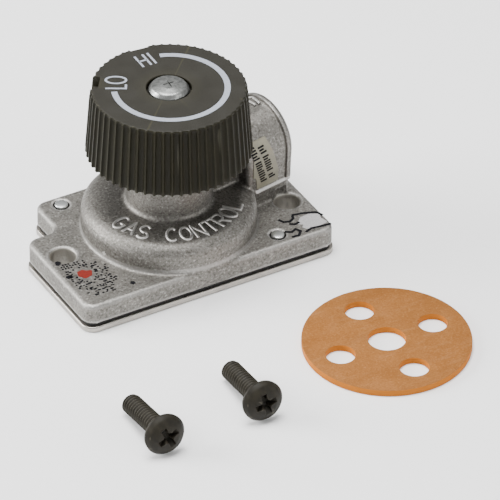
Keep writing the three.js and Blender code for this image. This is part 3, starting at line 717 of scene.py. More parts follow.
OUTLINE = outline()
DOME = rounded(
    [(0, 4, 0), (27.1, 4, 0), (26.5, 18.4, 4.6), (NECK_R, 19.3, 1.5), (NECK_R, NECK_TOP, 0.5), (0, NECK_TOP, 0)]
)
CAVITY = rounded(
    [
        (0, 0, 0), (PLENUM_R, 0, 0), (PLENUM_R, FLANGE_TOP + 5, 2.4), (SEAT_BORE_R, FLANGE_TOP + 6.3, 0),
        (SEAT_BORE_R, CHAMBER_BOTTOM, 0), (CHAMBER_R, CHAMBER_BOTTOM, 0), (CHAMBER_R, BONNET_BORE_Z, 0),
        (BONNET_BORE_R, BONNET_BORE_Z, 0), (BONNET_BORE_R, NECK_TOP + 4, 0), (0, NECK_TOP + 4, 0),
    ]
)
THREAD_PITCH = 1.41  # 3/8 in taper pipe thread, 18 to the inch


def boss_field(u, v, z):
    """The inlet boss: round above its axis, slightly tapering sides below, on a foot."""
    up = np.maximum(z - BOSS_Z, 0)
    down = np.maximum(BOSS_Z - z, 0)
    spread = np.sqrt(v * v + up * up) + 0.045 * down
    body = np.maximum(meet(spread - BOSS_BODY_R, BOSS_START - u, 1.8), u - BOSS_REACH + 1)
    pipe = np.maximum(np.maximum(spread - BOSS_PIPE_R, u - BOSS_START - 3), 6 - u)
    collar = meet(spread - BOSS_R, u - BOSS_REACH, 0.9)
    collar = meet(collar, BOSS_REACH - COLLAR_LENGTH - u, 0.3)
    upper = np.maximum(np.minimum(blend_join(body, collar, 0.3), pipe), FOOT_TOP - 0.4 - z)
    skirt_cut = np.maximum(np.sqrt(u * u + v * v) - SKIRT_CUT_R, SKIRT_CUT_Z - z)
    flat = np.maximum(np.sqrt((u - FLAT_U) ** 2 + (v - FLAT_V) ** 2) - FLAT_R, FLAT_Z - z)
    upper = np.maximum(upper, -np.minimum(skirt_cut, flat))
    foot = meet(np.abs(v) - FOOT_HALF_WIDTH - 0.1, u - BOSS_REACH + 0.4, 0.8)
    foot = np.maximum(np.maximum(meet(foot, z - FOOT_TOP - 0.2, 0.3), 6 - u), 4 - z)
    bead_u = np.maximum(np.maximum(25 - u, u - BOSS_REACH + 0.8), 0)
    bead = np.sqrt((np.abs(v) - FOOT_HALF_WIDTH - 0.5) ** 2 + (z - FOOT_TOP - 0.1) ** 2 + bead_u**2) - 0.55
    return blend_join(blend_join(upper, foot, 0.3), bead, 0.15)


def port_field(u, v, z):
    """The threaded inlet and the narrower passage behind it."""
    across = np.sqrt(v * v + (z - BOSS_Z) ** 2)
    turn = np.arctan2(z - BOSS_Z, v) / TAU
    tooth = np.abs((u / THREAD_PITCH + turn) % 1 - 0.5) * 2
    depth = BOSS_REACH - u
    wall = PORT_R + 0.75 * tooth * step_up(PORT_DEPTH - 2, PORT_DEPTH - 5, depth) - 0.03 * depth
    mouth = np.maximum(1.2 - depth, 0)
    threaded = np.maximum(across - wall - mouth, BOSS_REACH - PORT_DEPTH - u)
    passage = np.maximum(across - PASSAGE_R, -u)
    return np.minimum(threaded * 0.7, passage)


def body_field(x, y, z):
    """Signed distance to the whole casting, negative in the metal."""
    c, s = math.cos(BOSS_TURN), math.sin(BOSS_TURN)
    u, v = x * c + y * s, y * c - x * s
    r = np.sqrt(x * x + y * y)
    edge = polygon_field(OUTLINE, x, y)
    flange = meet(edge, z - FLANGE_TOP, EDGE_ROUND)
    dome = np.maximum(polygon_field(DOME, r, z), edge)
    solid = blend_join(flange, dome, 0.9)
    solid = blend_join(solid, boss_field(u, v, z), 0.9)
    keyway = np.maximum(np.abs(x) - KEYWAY_WIDTH / 2, np.abs(y) - KEYWAY_R)
    keyway = np.maximum(keyway, np.maximum(CHAMBER_BOTTOM - z, z - BONNET_BORE_Z))
    hollow = np.minimum(polygon_field(CAVITY, r, z), np.minimum(keyway, port_field(u, v, z)))
    for hx, hy in SCREW_HOLES:
        flare = np.clip(z - FLANGE_TOP + 0.5, 0, 0.5)
        hole = np.sqrt((x - hx) ** 2 + (y - hy) ** 2) - SCREW_HOLE_R - flare
        hollow = np.minimum(hollow, np.maximum(hole, z - FLANGE_TOP - 3))
    for rx, ry in RIVETS.values():
        away = np.sqrt((x - rx) ** 2 + (y - ry) ** 2)
        pocket = np.maximum(away - RIVET_POCKET_R, FLANGE_TOP - 1 - z)
        hollow = np.minimum(hollow, np.minimum(pocket, away - RIVET_SHANK_R - 0.3))
    return np.maximum(np.maximum(solid, -hollow), FLANGE_BOTTOM - z)


def surface_net(field, low, step, shape):
    """One vertex in each cell that the surface crosses, and a quad round each crossed grid edge."""
    axes = [low[i] + step * np.arange(shape[i]) for i in range(3)]
    values = field(axes[0][:, None, None], axes[1][None, :, None], axes[2][None, None, :])
    cells = tuple(n - 1 for n in shape)
    total = np.zeros((*cells, 3))
    count = np.zeros(cells)
    corners = [(i, j, k) for i in (0, 1) for j in (0, 1) for k in (0, 1)]

    def at(corner):
        i, j, k = corner
        return values[i:i + cells[0], j:j + cells[1], k:k + cells[2]]

    for a in corners:
        for axis in range(3):
            if a[axis]:
                continue
            b = tuple(1 if n == axis else a[n] for n in range(3))
            fa, fb = at(a), at(b)
            crossed = (fa < 0) != (fb < 0)
            t = np.where(crossed, fa / np.where(crossed, fa - fb, 1), 0)
            for n in range(3):
                offset = a[n] + (t if n == axis else 0)
                total[..., n] += np.where(crossed, offset, 0)
            count += crossed
    used = count > 0
    index = np.full(cells, -1)
    index[used] = np.arange(used.sum())
    base = np.argwhere(used)
    verts = (base + total[used] / count[used][:, None]) * step + np.array(low)
    quads = []
    for axis in range(3):
        b, c = (axis + 1) % 3, (axis + 2) % 3
        first = [slice(1, n - 1) for n in shape]
        first[axis] = slice(0, shape[axis] - 1)
        second = list(first)
        second[axis] = slice(1, shape[axis])
        inside_first = values[tuple(first)] < 0
        inside_second = values[tuple(second)] < 0
        for flip, crossed in ((False, inside_first & ~inside_second), (True, ~inside_first & inside_second)):
            spots = np.argwhere(crossed)
            spots[:, b] += 1
            spots[:, c] += 1
            ring = []
            for db, dc in ((-1, -1), (0, -1), (0, 0), (-1, 0)):
                cell = spots.copy()
                cell[:, b] += db
                cell[:, c] += dc
                ring.append(index[cell[:, 0], cell[:, 1], cell[:, 2]])
            quad = np.stack(ring, 1)
            quads.append(quad[:, ::-1] if flip else quad)
    return verts, np.concatenate(quads)


def settle(verts, quads, field, rounds=3, reach=0.25):
    """Evens the mesh out a little and moves each vertex onto the surface."""
    a = quads.ravel()
    b = np.roll(quads, -1, axis=1).ravel()
    pairs = np.concatenate([np.stack([a, b], 1), np.stack([b, a], 1)])
    degree = np.bincount(pairs[:, 0], minlength=len(verts))[:, None]
    for turn in range(rounds):
        if turn < rounds - 1:
            pull = np.zeros_like(verts)
            for n in range(3):
                pull[:, n] = np.bincount(pairs[:, 0], verts[pairs[:, 1], n], minlength=len(verts))
            verts = verts + 0.5 * (pull / degree - verts)
        for _ in range(2):
            here = field(*verts.T)
            h = 0.04
            slope = np.stack(
                [(field(*(verts + d).T) - field(*(verts - d).T)) / (2 * h) for d in np.eye(3) * h], 1
            )
            length = np.maximum((slope**2).sum(1), 0.2)
            verts = verts - slope * (np.clip(here, -reach, reach) / length)[:, None]
    return verts


def make_casting():
    step = 0.5
    low = (LEFT - 2.13, FRONT - 2.07, FLANGE_BOTTOM - 1.61)
    high = (RIGHT + 2, BACK + 2, NECK_TOP + 2)
    shape = [math.ceil((b - a) / step) + 1 for a, b in zip(low, high)]
    verts, quads = surface_net(body_field, low, step, shape)
    verts = settle(verts, quads, body_field)
    piece("valve_casting", verts, quads, CAST, "body", "cast_aluminium", ["valve_body"], crease_deg=50)


make_casting()


# ---------- Raised lettering on the dome ----------

def dome_height(r):
    """Height of the dome's gently sloping top at a distance from the axis."""
    return 19.3 - (r - NECK_R) * (0.9 / (26.5 - NECK_R))


def dome_letters():
    parts = Parts()
    text, first_deg, last_deg = "GAS CONTROL", 194.0, 318.0
    letter_high, letter_wide = 5.6, 3.3
    baseline_r = 22.4
    section = [(-0.42, -0.25), (0.42, -0.25), (0.40, 0.12), (0.22, 0.34), (-0.22, 0.34), (-0.40, 0.12)]
    for i, letter in enumerate(text):
        if letter == " ":
            continue
        turn = math.radians(first_deg + (last_deg - first_deg) * i / (len(text) - 1))
        out = np.array([math.cos(turn), math.sin(turn)])
        right = np.array([-out[1], out[0]])

        def lay(p):
            flat = out * (baseline_r - p[1]) + right * (p[0] - letter_wide / 2)
            r = np.linalg.norm(flat)
            slope = 0.9 / (26.5 - NECK_R)
            normal = np.array([slope * flat[0] / r, slope * flat[1] / r, 1.0])
            return (flat[0], flat[1], dome_height(r)), normal / np.linalg.norm(normal)

        for stroke in LETTERS[letter]:
            scaled = [(a * letter_wide, b * letter_high) for a, b in stroke]
            stroke_solid(parts, resample(scaled, 0.6), section, lay)
    piece("dome_lettering", parts.verts, parts.faces, CAST, "body", "cast_aluminium", crease_deg=55)


dome_letters()


# ---------- Base plate, its gasket and the rivets ----------

def ring_of(radius, circle_r, x=0.0, y=0.0, count=48):
    return [
        circle(radius, x + circle_r * math.cos(t), y + circle_r * math.sin(t), count)
        for t in (0, TAU / 4, TAU / 2, TAU * 3 / 4)
    ]


def make_base():
    screw_holes = [circle(SCREW_HOLE_R, x, y, 56) for x, y in SCREW_HOLES]
    rivet_holes = [circle(RIVET_SHANK_R + 0.3, x, y, 32) for x, y in RIVETS.values()]
    plate = sheet_mesh(
        "base_plate_sheet", outline(0.4, 10), screw_holes + rivet_holes + ring_of(PLATE_PORT_R, PORT_CIRCLE_R),
        0, PLATE_TOP - 0.05, 0.4,
    )
    finish_piece("base_plate_sheet", plate, PLATED, "body", "plated_steel", ["base_plate"])
    seal = sheet_mesh(
        "base_gasket_sheet", outline(-0.6, 10), [*screw_holes, *rivet_holes, circle(PLENUM_R)],
        PLATE_TOP, FLANGE_BOTTOM - 0.05, 0.12,
    )
    finish_piece("base_gasket_sheet", seal, RUBBER, "body", "black_rubber", ["base_gasket"])


def make_rivets():
    profile = rounded(
        [
            (0, 0.1, 0), (RIVET_HEAD_R, 0.1, 0.25), (RIVET_HEAD_R, 0.6, 0), (RIVET_SHANK_R, 0.6, 0),
            (RIVET_SHANK_R, FLANGE_TOP - 0.7, 0), (RIVET_HEAD_R, FLANGE_TOP - 0.7, 0),
            (RIVET_HEAD_R, FLANGE_TOP + 0.32, 0.4), (0.9, FLANGE_TOP + 0.47, 0.5), (0, FLANGE_TOP + 0.48, 0),
        ],
        closed=False,
    )
    verts, faces = revolve(profile, 48)
    for name, (x, y) in RIVETS.items():
        piece(name + "_pin", moved(verts, x, y), faces, RIVET_METAL, "body", "plated_steel", [name])


make_base()
make_rivets()


# ---------- Knob ----------

def knob_section():
    """The knob's section as a closed loop: up the outer wall, over the top, and back inside."""
    outer = [(KNOB_BOTTOM_R - 0.35, KNOB_BOTTOM)]
    outer += [(wall_radius(z), z) for z in (37.0, 38.5, 42, 46, 50, 54, 56, 56.8, 57.4)]
    rim_r = KNOB_TOP_R
    outer += [
        (rim_r, 57.9), (rim_r - 0.04, 58.3), (rim_r - 0.12, 58.55), (rim_r - 0.28, 58.75),
        (rim_r - 0.42, 58.84), (rim_r - 0.62, KNOB_TOP),
    ]
    top = [(22.5, KNOB_TOP), (21.9, KNOB_TOP), (21.4, KNOB_TOP), (18, KNOB_TOP), (12, KNOB_TOP)]
    recess = [
        (KNOB_RECESS_R + 0.2, KNOB_TOP), (KNOB_RECESS_R, KNOB_TOP - 0.2), (KNOB_RECESS_R, KNOB_RECESS_Z),
        (2.3, KNOB_RECESS_Z), (2.3, KNOB_CEILING),
    ]
    hub = [(5.9, KNOB_CEILING), (5.9, HUB_BOTTOM), (HUB_R, HUB_BOTTOM), (HUB_R, KNOB_CEILING)]
    inner = [
        (KNOB_TOP_R - KNOB_WALL - 1.5, KNOB_CEILING), (KNOB_TOP_R - KNOB_WALL, KNOB_CEILING - 1.5),
        (KNOB_BOTTOM_R - KNOB_WALL, KNOB_BOTTOM + 0.3), (KNOB_BOTTOM_R - KNOB_WALL + 0.3, KNOB_BOTTOM),
    ]
    return outer + top + recess + hub + inner, len(outer)


def wall_radius(z):
    t = (z - KNOB_BOTTOM) / (KNOB_TOP - KNOB_BOTTOM)
    return KNOB_BOTTOM_R + (KNOB_TOP_R - KNOB_BOTTOM_R) * t


def groove_depth(phase, z):
    """Depth of a grip groove. phase runs from -0.5 to 0.5 across one rib and its groove."""
    half = 0.40
    if abs(phase) >= half:
        return 0.0
    bowl = math.sqrt(1 - (phase / half) ** 2)
    shallow = 1 - 0.6 * float(step_up(57.3, 58.8, z))
    return FLUTE_DEPTH * 1.05 * bowl**0.8 * shallow


def pocket_profile(section, wall_r):
    """The section where a rim pocket cuts it: a floor in from the outer wall, and a wall up."""
    floor_z = KNOB_TOP - POCKET_DEPTH
    inside = [i for i, (r, z) in enumerate(section) if z > floor_z and r > wall_r]
    outer_r = wall_radius(floor_z)
    changed = list(section)
    half = len(inside) // 2
    for n, i in enumerate(inside):
        if n < half:
            changed[i] = (outer_r + (wall_r - outer_r) * n / half, floor_z)
        else:
            changed[i] = (wall_r, floor_z + (KNOB_TOP - floor_z) * (n - half) / (len(inside) - 1 - half))
    return changed


def pocket_wall_radius(turn):
    """Distance of a rim pocket's flat wall from the axis in this direction, or None outside both pockets."""
    for centre_deg, wall in RIM_POCKETS:
        off = turn - math.radians(centre_deg)
        if abs(off) < 1 and abs(math.tan(off)) * wall < POCKET_HALF:
            return wall / math.cos(off)
    return None


def make_knob():
    per_flute = 14
    columns = FLUTES * per_flute
    section, wall_count = knob_section()
    rows = len(section)
    verts = []
    for k in range(columns):
        turn = (k + 0.3) / columns * TAU
        wall_r = pocket_wall_radius(turn)
        phase = (turn * FLUTES / TAU + 0.5) % 1 - 0.5
        for i, (r, z) in enumerate(pocket_profile(section, wall_r) if wall_r else section):
            if i < wall_count and (not wall_r or z <= KNOB_TOP - POCKET_DEPTH):
                r -= groove_depth(phase, z)
            verts.append((r * math.cos(turn), r * math.sin(turn), z))
    faces = []
    for k in range(columns):
        n = (k + 1) % columns
        for i in range(rows):
            j = (i + 1) % rows
            faces.append((k * rows + i, n * rows + i, n * rows + j, k * rows + j))
    piece("knob_shell", verts, faces, KNOB, "knob", "knob_plastic", ["knob"], crease_deg=38)


def box_solid(x0, x1, y0, y1, z0, z1):
    verts = [(x, y, z) for z in (z0, z1) for x, y in ((x0, y0), (x1, y0), (x1, y1), (x0, y1))]
    faces = [(3, 2, 1, 0), (4, 5, 6, 7), (0, 1, 5, 4), (1, 2, 6, 5), (2, 3, 7, 6), (3, 0, 4, 7)]
    return verts, faces


def make_knob_ribs():
    """Ribs between hub and wall, and the arm that meets the stop pin."""
    parts = Parts()
    reach = KNOB_TOP_R - KNOB_WALL + 0.3
    for turn in (0, 1, 2, 3):
        verts, faces = box_solid(HUB_R - 0.5, reach, -0.8, 0.8, HUB_BOTTOM + 5, KNOB_CEILING + 0.5)
        spin = np.array(Matrix.Rotation(turn * TAU / 4, 3, "Z"))
        parts.add(np.array(verts) @ spin.T, faces)
    pin_half = math.asin(1.2 / 9.6)
    start = math.radians(265) + pin_half
    end = start + TAU - math.radians(305) - 2 * pin_half
    steps = 24
    path = [start + (end - start) * k / steps for k in range(steps + 1)]
    section = [(HUB_R - 0.5, 43.8), (11.2, 43.8), (11.2, HUB_BOTTOM + 2), (HUB_R - 0.5, HUB_BOTTOM + 2)]
    ring = [np.array([0.0, 0.0, 0.0])] * len(path)
    side = [np.array([math.cos(t), math.sin(t), 0]) for t in path]
    up = [np.array([0.0, 0.0, 1.0])] * len(path)
    verts, faces = sweep(ring, side, up, section)
    parts.add(verts, [f[::-1] for f in faces])
    piece("knob_ribs", parts.verts, parts.faces, KNOB, "knob", "knob_plastic", smooth=False)


def make_dial_print():
    """The printed arc and the marks HI and LO on top of the knob."""
    parts = Parts()
    lift, thick = KNOB_TOP, 0.04
    up = np.array([0.0, 0.0, 1.0])
    flat_section = [(-1, 0.005), (1, 0.005), (1, thick), (-1, thick)]

    steps = 140
    centre = np.array([0.5, -0.2, 0.0])
    path, side = [], []
    for k in range(steps + 1):
        turn = math.radians(159 + (432 - 159) * k / steps)
        out = np.array([math.cos(turn), math.sin(turn), 0])
        path.append(centre + out * 16.95 + up * lift)
        side.append(out * 0.9)
    verts, faces = sweep(path, side, [up] * len(path), [(a, b) for a, b in flat_section])
    parts.add(verts, [f[::-1] for f in faces])

    stroke = 0.34
    letter_section = [(a * stroke, b) for a, b in flat_section]
    # Each word has the place of its baseline's start, its up direction, and (letter, start, width) along it.
    words = [
        ((-11.5, 5.65), 150.0, [("L", 0.0, 2.6), ("O", 2.6, 3.6)]),
        ((-1.4, 12.95), 88.3, [("H", 0.0, 2.6), ("I", 4.25, 1.0)]),
    ]
    for start_at, up_deg, letters in words:
        rise = np.array([math.cos(math.radians(up_deg)), math.sin(math.radians(up_deg))])
        right = np.array([rise[1], -rise[0]])
        for letter, start, wide in letters:

            def lay(p):
                flat = np.array(start_at) + rise * p[1] + right * p[0]
                return (flat[0], flat[1], lift), up

            for line in LETTERS[letter]:
                scaled = [(start + a * wide, b * 6.1) for a, b in line]
                stroke_solid(parts, resample(scaled, 1.0), letter_section, lay)
    piece("dial_print", parts.verts, parts.faces, WHITE_PRINT, "knob", "knob_plastic", smooth=False)


make_knob()
make_knob_ribs()
make_dial_print()


# ---------- Phillips screws ----------

def cross_tools(top, span, depth, half_thick, pit):
    """Two tapering blades and a round pit that cut a cross recess, reaching down from the given height."""
    tools = []
    wide, narrow = span / 2, span / 5
    for swap in (False, True):
        blade_xz = [(-wide, 2), (-wide, 0), (-narrow, -depth), (narrow, -depth), (wide, 0), (wide, 2)]
        verts = []
        for y in (-1, 1):
            for x, z in blade_xz:
                deep = min(max(-z / depth, 0), 1)
                half = half_thick * (1 - 0.4 * deep) * (1.003 if swap else 1)
                point = (x, y * half, z + top)
                verts.append((point[1], point[0], point[2]) if swap else point)
        n = len(blade_xz)
        front = tuple(range(n))
        back = tuple(range(2 * n - 1, n - 1, -1))
        sides = [(i, i + n, (i + 1) % n + n, (i + 1) % n) for i in range(n)]
        faces = [front, back, *sides]
        tools.append((verts, [f[::-1] for f in faces] if swap else faces))
    cone = [(0, -depth - 0.6), (pit * 0.5, -depth + 0.1), (pit, 0.02), (pit * 1.1, 2), (0, 2)]
    tools.append(revolve([(r, z + top) for r, z in cone], 24))
    return tools


def closed_mesh(name, verts, faces):
    mesh = bpy.data.meshes.new(name)
    mesh.from_pydata((np.asarray(verts) * MM).tolist(), [], faces)
    bm = bmesh.new()
    bm.from_mesh(mesh)
    bmesh.ops.recalc_face_normals(bm, faces=bm.faces)
    bm.to_mesh(mesh)
    bm.free()
    return mesh


def make_knob_screw():
    bottom = KNOB_RECESS_Z + 0.8
    profile = rounded(
        [
            (0, 48, 0), (1.85, 48, 0.4), (1.85, bottom, 0), (6.0, bottom, 0.15), (6.15, bottom + 0.9, 0.4),
            (5.2, bottom + 2.25, 1.4), (2.6, bottom + 2.88, 2.5), (0, bottom + 2.95, 0),
        ],
        closed=False, steps=8,
    )
    mesh = closed_mesh("knob_screw_head", *revolve(profile, 96))
    mesh = cut_mesh(mesh, cross_tools(bottom + 2.88, 3.8, 1.0, 0.22, pit=0.35))
    mesh.transform(Matrix.Rotation(math.radians(-5), 4, "Z"))
    finish_piece("knob_screw_head", mesh, ZINC, "knob", "plated_steel", ["knob_screw"], crease_deg=35)


def thread_verts(radius, depth, pitch, bottom, top, columns=48, per_turn=8):
    """A screw thread as a tube closed at both ends, with its tip chamfered."""
    rows = round((top - bottom) / pitch * per_turn) + 1
    verts = []
    for i in range(rows):
        z = bottom + (top - bottom) * i / (rows - 1)
        for k in range(columns):
            turn = k / columns * TAU
            tooth = abs((z / pitch - k / columns) % 1 - 0.5) * 2
            r = radius - depth * tooth**1.2
            r = min(r, radius - 0.9 + (z - bottom) * 0.9)
            verts.append((r * math.cos(turn), r * math.sin(turn), z))
    faces = [
        (i * columns + k, i * columns + (k + 1) % columns, (i + 1) * columns + (k + 1) % columns, (i + 1) * columns + k)
        for i in range(rows - 1) for k in range(columns)
    ]
    faces.append(tuple(range(columns))[::-1])
    faces.append(tuple((rows - 1) * columns + k for k in range(columns)))
    return verts, faces


def make_mounting_screws():
    head = rounded(
        [
            (0, -0.4, 0), (SCREW_R - 0.2, -0.4, 0), (SCREW_R - 0.1, 0, 0), (SCREW_HEAD_R - 0.15, 0, 0.2),
            (SCREW_HEAD_R, 0.9, 0.4), (SCREW_HEAD_R - 0.9, 2.2, 1.8), (SCREW_HEAD_R - 3.0, 3.45, 3),
            (1.5, SCREW_HEAD_HEIGHT, 4), (0, SCREW_HEAD_HEIGHT, 0),
        ],
        closed=False, steps=8,
    )
    lie = math.atan((SCREW_HEAD_R - SCREW_R) / SCREW_LENGTH)
    rolls = {"mounting_screw_1": 24, "mounting_screw_2": 12}
    for name, (x, y, swing) in KIT_SCREWS.items():
        mesh = cut_mesh(closed_mesh(name, *revolve(head, 96)), cross_tools(SCREW_HEAD_HEIGHT, 7.4, 2.6, 1.05, pit=1.75))
        bm = bmesh.new()
        bm.from_mesh(mesh)
        verts, faces = thread_verts(SCREW_R, 0.55, 1.27, -SCREW_LENGTH, -0.3)
        made = [bm.verts.new(Vector(v) * MM) for v in verts]
        for face in faces:
            bm.faces.new([made[i] for i in face])
        bm.to_mesh(mesh)
        bm.free()
        height = SCREW_HEAD_R * math.cos(lie) + 0.1
        mesh.transform(
            Matrix.Translation(Vector((x, y, height)) * MM)
            @ Matrix.Rotation(math.radians(swing), 4, "Z")
            @ Matrix.Rotation(math.pi / 2 - lie, 4, "X")
            @ Matrix.Rotation(math.radians(rolls[name]), 4, "Z")
        )
        finish_piece(name + "_steel", mesh, BLACK_STEEL, "body", "black_steel", [name], crease_deg=35)


make_knob_screw()
make_mounting_screws()


# ---------- Loose gasket ----------

def make_mounting_gasket():
    x, y = GASKET_AT
    holes = [circle(GASKET_CENTRE_R, x, y, 72), *ring_of(GASKET_PORT_R, PORT_CIRCLE_R, x, y, 56)]
    mesh = sheet_mesh("tan_gasket", circle(GASKET_R, x, y, 192), holes, 0, GASKET_THICK, 0.12)
    finish_piece("tan_gasket", mesh, GASKET, "body", "gasket_sheet", ["mounting_gasket"])


make_mounting_gasket()


# ---------- Sticker on the boss ----------

LABEL_FROM, LABEL_TO, LABEL_BOTTOM, LABEL_BEND = 23.2, 33.2, 16.6, math.radians(38)


def on_boss(u, along, lift):
    """A point on the boss's front side: along is the distance up from the label's lower edge."""
    straight = BOSS_Z - LABEL_BOTTOM
    r = BOSS_BODY_R + lift
    if along < straight:
        v, z = -(r - 0.045 * (straight - along)), LABEL_BOTTOM + along
    else:
        turn = (along - straight) / BOSS_BODY_R
        v, z = -r * math.cos(turn), BOSS_Z + r * math.sin(turn)
    c, s = math.cos(BOSS_TURN), math.sin(BOSS_TURN)
    return (u * c - v * s, u * s + v * c, z)


def make_boss_mark():
    """A small raised tick cast on top of the boss."""
    parts = Parts()
    section = [(-0.38, -0.2), (0.38, -0.2), (0.34, 0.1), (0.18, 0.26), (-0.18, 0.26), (-0.34, 0.1)]
    c, s = math.cos(BOSS_TURN), math.sin(BOSS_TURN)

    def lay(p):
        u, v = p
        height = math.sqrt(BOSS_BODY_R**2 - v * v)
        normal = np.array([-v * s, v * c, height]) / BOSS_BODY_R
        return (u * c - v * s, u * s + v * c, BOSS_Z + height), normal

    for stroke in ([(34.6, 4.4), (35.7, 3.4), (34.8, -0.9)], [(33.2, 2.6), (33.3, -0.8)]):
        stroke_solid(parts, resample(stroke, 0.6), section, lay)
    piece("boss_mark", parts.verts, parts.faces, CAST, "body", "cast_aluminium", crease_deg=55)


def make_label():
    length = (BOSS_Z - LABEL_BOTTOM) + BOSS_BODY_R * LABEL_BEND - 0.4
    rows, columns = 28, 24
    lean = 5.2
    verts = []
    for lift in (0.04, 0.2):
        for i in range(rows + 1):
            for k in range(columns + 1):
                u = LABEL_FROM + (LABEL_TO - LABEL_FROM) * k / columns
                low = 4.7 * float(step_up(25.0, 24.2, u))
                along = low + (length - low) * i / rows
                verts.append(on_boss(u - lean * max(along - 4, 0) / length * k / columns, along, lift))
    wide = columns + 1
    layer = (rows + 1) * wide
    faces = []
    for i in range(rows):
        for k in range(columns):
            a = i * wide + k
            faces.append((a, a + wide, a + wide + 1, a + 1))
            faces.append((layer + a, layer + a + 1, layer + a + wide + 1, layer + a + wide))
    rim = [k for k in range(wide)]
    rim += [i * wide + columns for i in range(1, rows + 1)]
    rim += [rows * wide + k for k in range(columns - 1, -1, -1)]
    rim += [i * wide for i in range(rows - 1, 0, -1)]
    for a, b in zip(rim, rim[1:] + rim[:1]):
        faces.append((a, b, layer + b, layer + a))
    piece("inlet_sticker", verts, faces, LABEL, "body", "label_film", ["inlet_label"])

    parts = Parts()
    box_faces = [(0, 1, 2, 3), (7, 6, 5, 4), (4, 5, 1, 0), (5, 6, 2, 1), (6, 7, 3, 2), (7, 4, 0, 3)]
    for start_u, start_along, words in ((27.0, 2.0, (8.2, 4.6)), (30.3, 2.2, (2.0, 6.4, 2.6))):
        along = start_along
        for word in words:
            for tick in range(round(word / 0.95)):
                lower = along + tick * 0.95
                tall = 2.4 if tick % 4 != 1 else 1.8
                ring = [
                    on_boss(start_u - 0.33 * (lower + da) + du, lower + da, lift)
                    for lift in (0.21, 0.25)
                    for du, da in ((0, 0), (tall, 0.15), (tall, 0.75), (0, 0.6))
                ]
                parts.add(ring, box_faces)
            along += word + 0.9
    piece("sticker_print", parts.verts, parts.faces, BLACK_INK, "body", "label_film", smooth=False)


make_boss_mark()
make_label()


# ---------- Ink, paint and pen marks on the flange ----------

def patch_solid(ring, thick):
    """A thin flat patch lying on the flange."""
    count = len(ring)
    verts = [(a, b, FLANGE_TOP + z) for z in (0.004, thick) for a, b in ring]
    faces = [tuple(range(count))[::-1], tuple(range(count, 2 * count))]
    faces += [(k, (k + 1) % count, (k + 1) % count + count, k + count) for k in range(count)]
    return verts, faces


def disc_solid(x, y, radius, thick=0.03, count=14, wobble=0.0, seed=0, squash=1.0):
    rng = random.Random(seed)
    ring = []
    for k in range(count):
        turn = k / count * TAU
        r = radius * (1 + wobble * rng.uniform(-1, 1))
        ring.append((x + r * math.cos(turn), y + r * squash * math.sin(turn)))
    return patch_solid(ring, thick)


def make_ink_code():
    """A generic dot-matrix block: rows of round ink dots, seeded so it never changes."""
    rng = random.Random(7)
    parts = Parts()
    for column in range(15):
        for row in range(15):
            x = -39.4 + column * 0.88 + rng.uniform(-0.28, 0.28)
            y = -21.8 + row * 1.04 + rng.uniform(-0.28, 0.28)
            if rng.random() < 0.3 or math.hypot(x + 34.6, y + 10.9) < 2.9:
                continue
            if x + y < -59.0 or x - y * 0.5 > -19.0 or x + y > -36.0:
                continue
            wide, high = rng.uniform(0.32, 0.56), rng.uniform(0.28, 0.46)
            parts.add(*disc_solid(x, y, wide, count=9, wobble=0.2, seed=row, squash=high / wide))
    for column in range(9):
        for row in range(3):
            if rng.random() < 0.3:
                continue
            at = (-39.4 + column * 0.9, -5.6 + row * 0.95 - column * 0.12)
            parts.add(*disc_solid(*at, 0.38, count=9, wobble=0.15, seed=column))
    parts.add(*disc_solid(-24.4, -21.6, 0.85, wobble=0.2, seed=3))
    parts.add(*disc_solid(-39.3, -2.4, 0.95, wobble=0.25, seed=5))
    parts.add(*disc_solid(-39.6, -9.9, 0.95, wobble=0.25, seed=6))
    piece("ink_dots", parts.verts, parts.faces, BLACK_INK, "body", "cast_aluminium", smooth=False)


def make_paint_marks():
    red_ring = rounded(
        [(-36.5, -9.0, 0.5), (-37.0, -11.0, 0.6), (-35.6, -13.0, 0.5), (-33.1, -12.4, 0.6), (-32.0, -10.2, 0.4),
         (-33.6, -9.6, 0.5), (-34.6, -8.6, 0.5)]
    )
    piece("red_paint_spot", *patch_solid(red_ring, 0.09), RED_PAINT, "body", "cast_aluminium")
    white_ring = rounded(
        [(35.8, -17.3, 0.4), (33.2, -19.8, 0.5), (34.9, -20.9, 0.3), (33.8, -22.0, 0.4), (34.6, -23.3, 0.4),
         (37.4, -24.4, 0.4), (39.6, -23.6, 0.4), (42.0, -23.4, 0.5), (41.2, -20.4, 0.4), (41.8, -18.4, 0.4),
         (38.8, -16.9, 0.5)]
    )
    piece("white_paint_patch", *patch_solid(white_ring, 0.06), WHITE_PAINT, "body", "cast_aluminium", smooth=False)


def make_pen_marks():
    """Loose pen strokes, generic squiggles."""
    parts = Parts()
    up = np.array([0.0, 0.0, 1.0])
    section = [(-0.42, 0.0), (0.42, 0.0), (0.42, 0.03), (-0.42, 0.03)]
    strokes = [
        [(29.4, -15.2), (30.2, -17.0), (32.0, -17.6), (33.6, -16.8), (34.2, -15.3)],
        [(34.1, -15.1), (37.3, -15.7), (41.3, -17.2), (42.4, -19.6)],
        [(31.2, -18.6), (32.6, -19.6), (34.4, -19.3)],
        [(28.0, -21.4), (29.8, -22.6), (31.6, -21.8), (32.4, -23.4), (31.0, -25.0), (28.6, -24.8)],
        [(33.6, -24.6), (36.0, -23.7), (38.9, -24.2), (42.4, -24.6)],
    ]

    def lay(p):
        return (p[0], p[1], FLANGE_TOP + 0.065), up

    for line in strokes:
        stroke_solid(parts, resample(line, 0.5), section, lay)
    piece("pen_strokes", parts.verts, parts.faces, BLACK_INK, "body", "cast_aluminium", smooth=False)


make_ink_code()
make_paint_marks()
make_pen_marks()


# ---------- Return spring, stretching between plate and poppet ----------

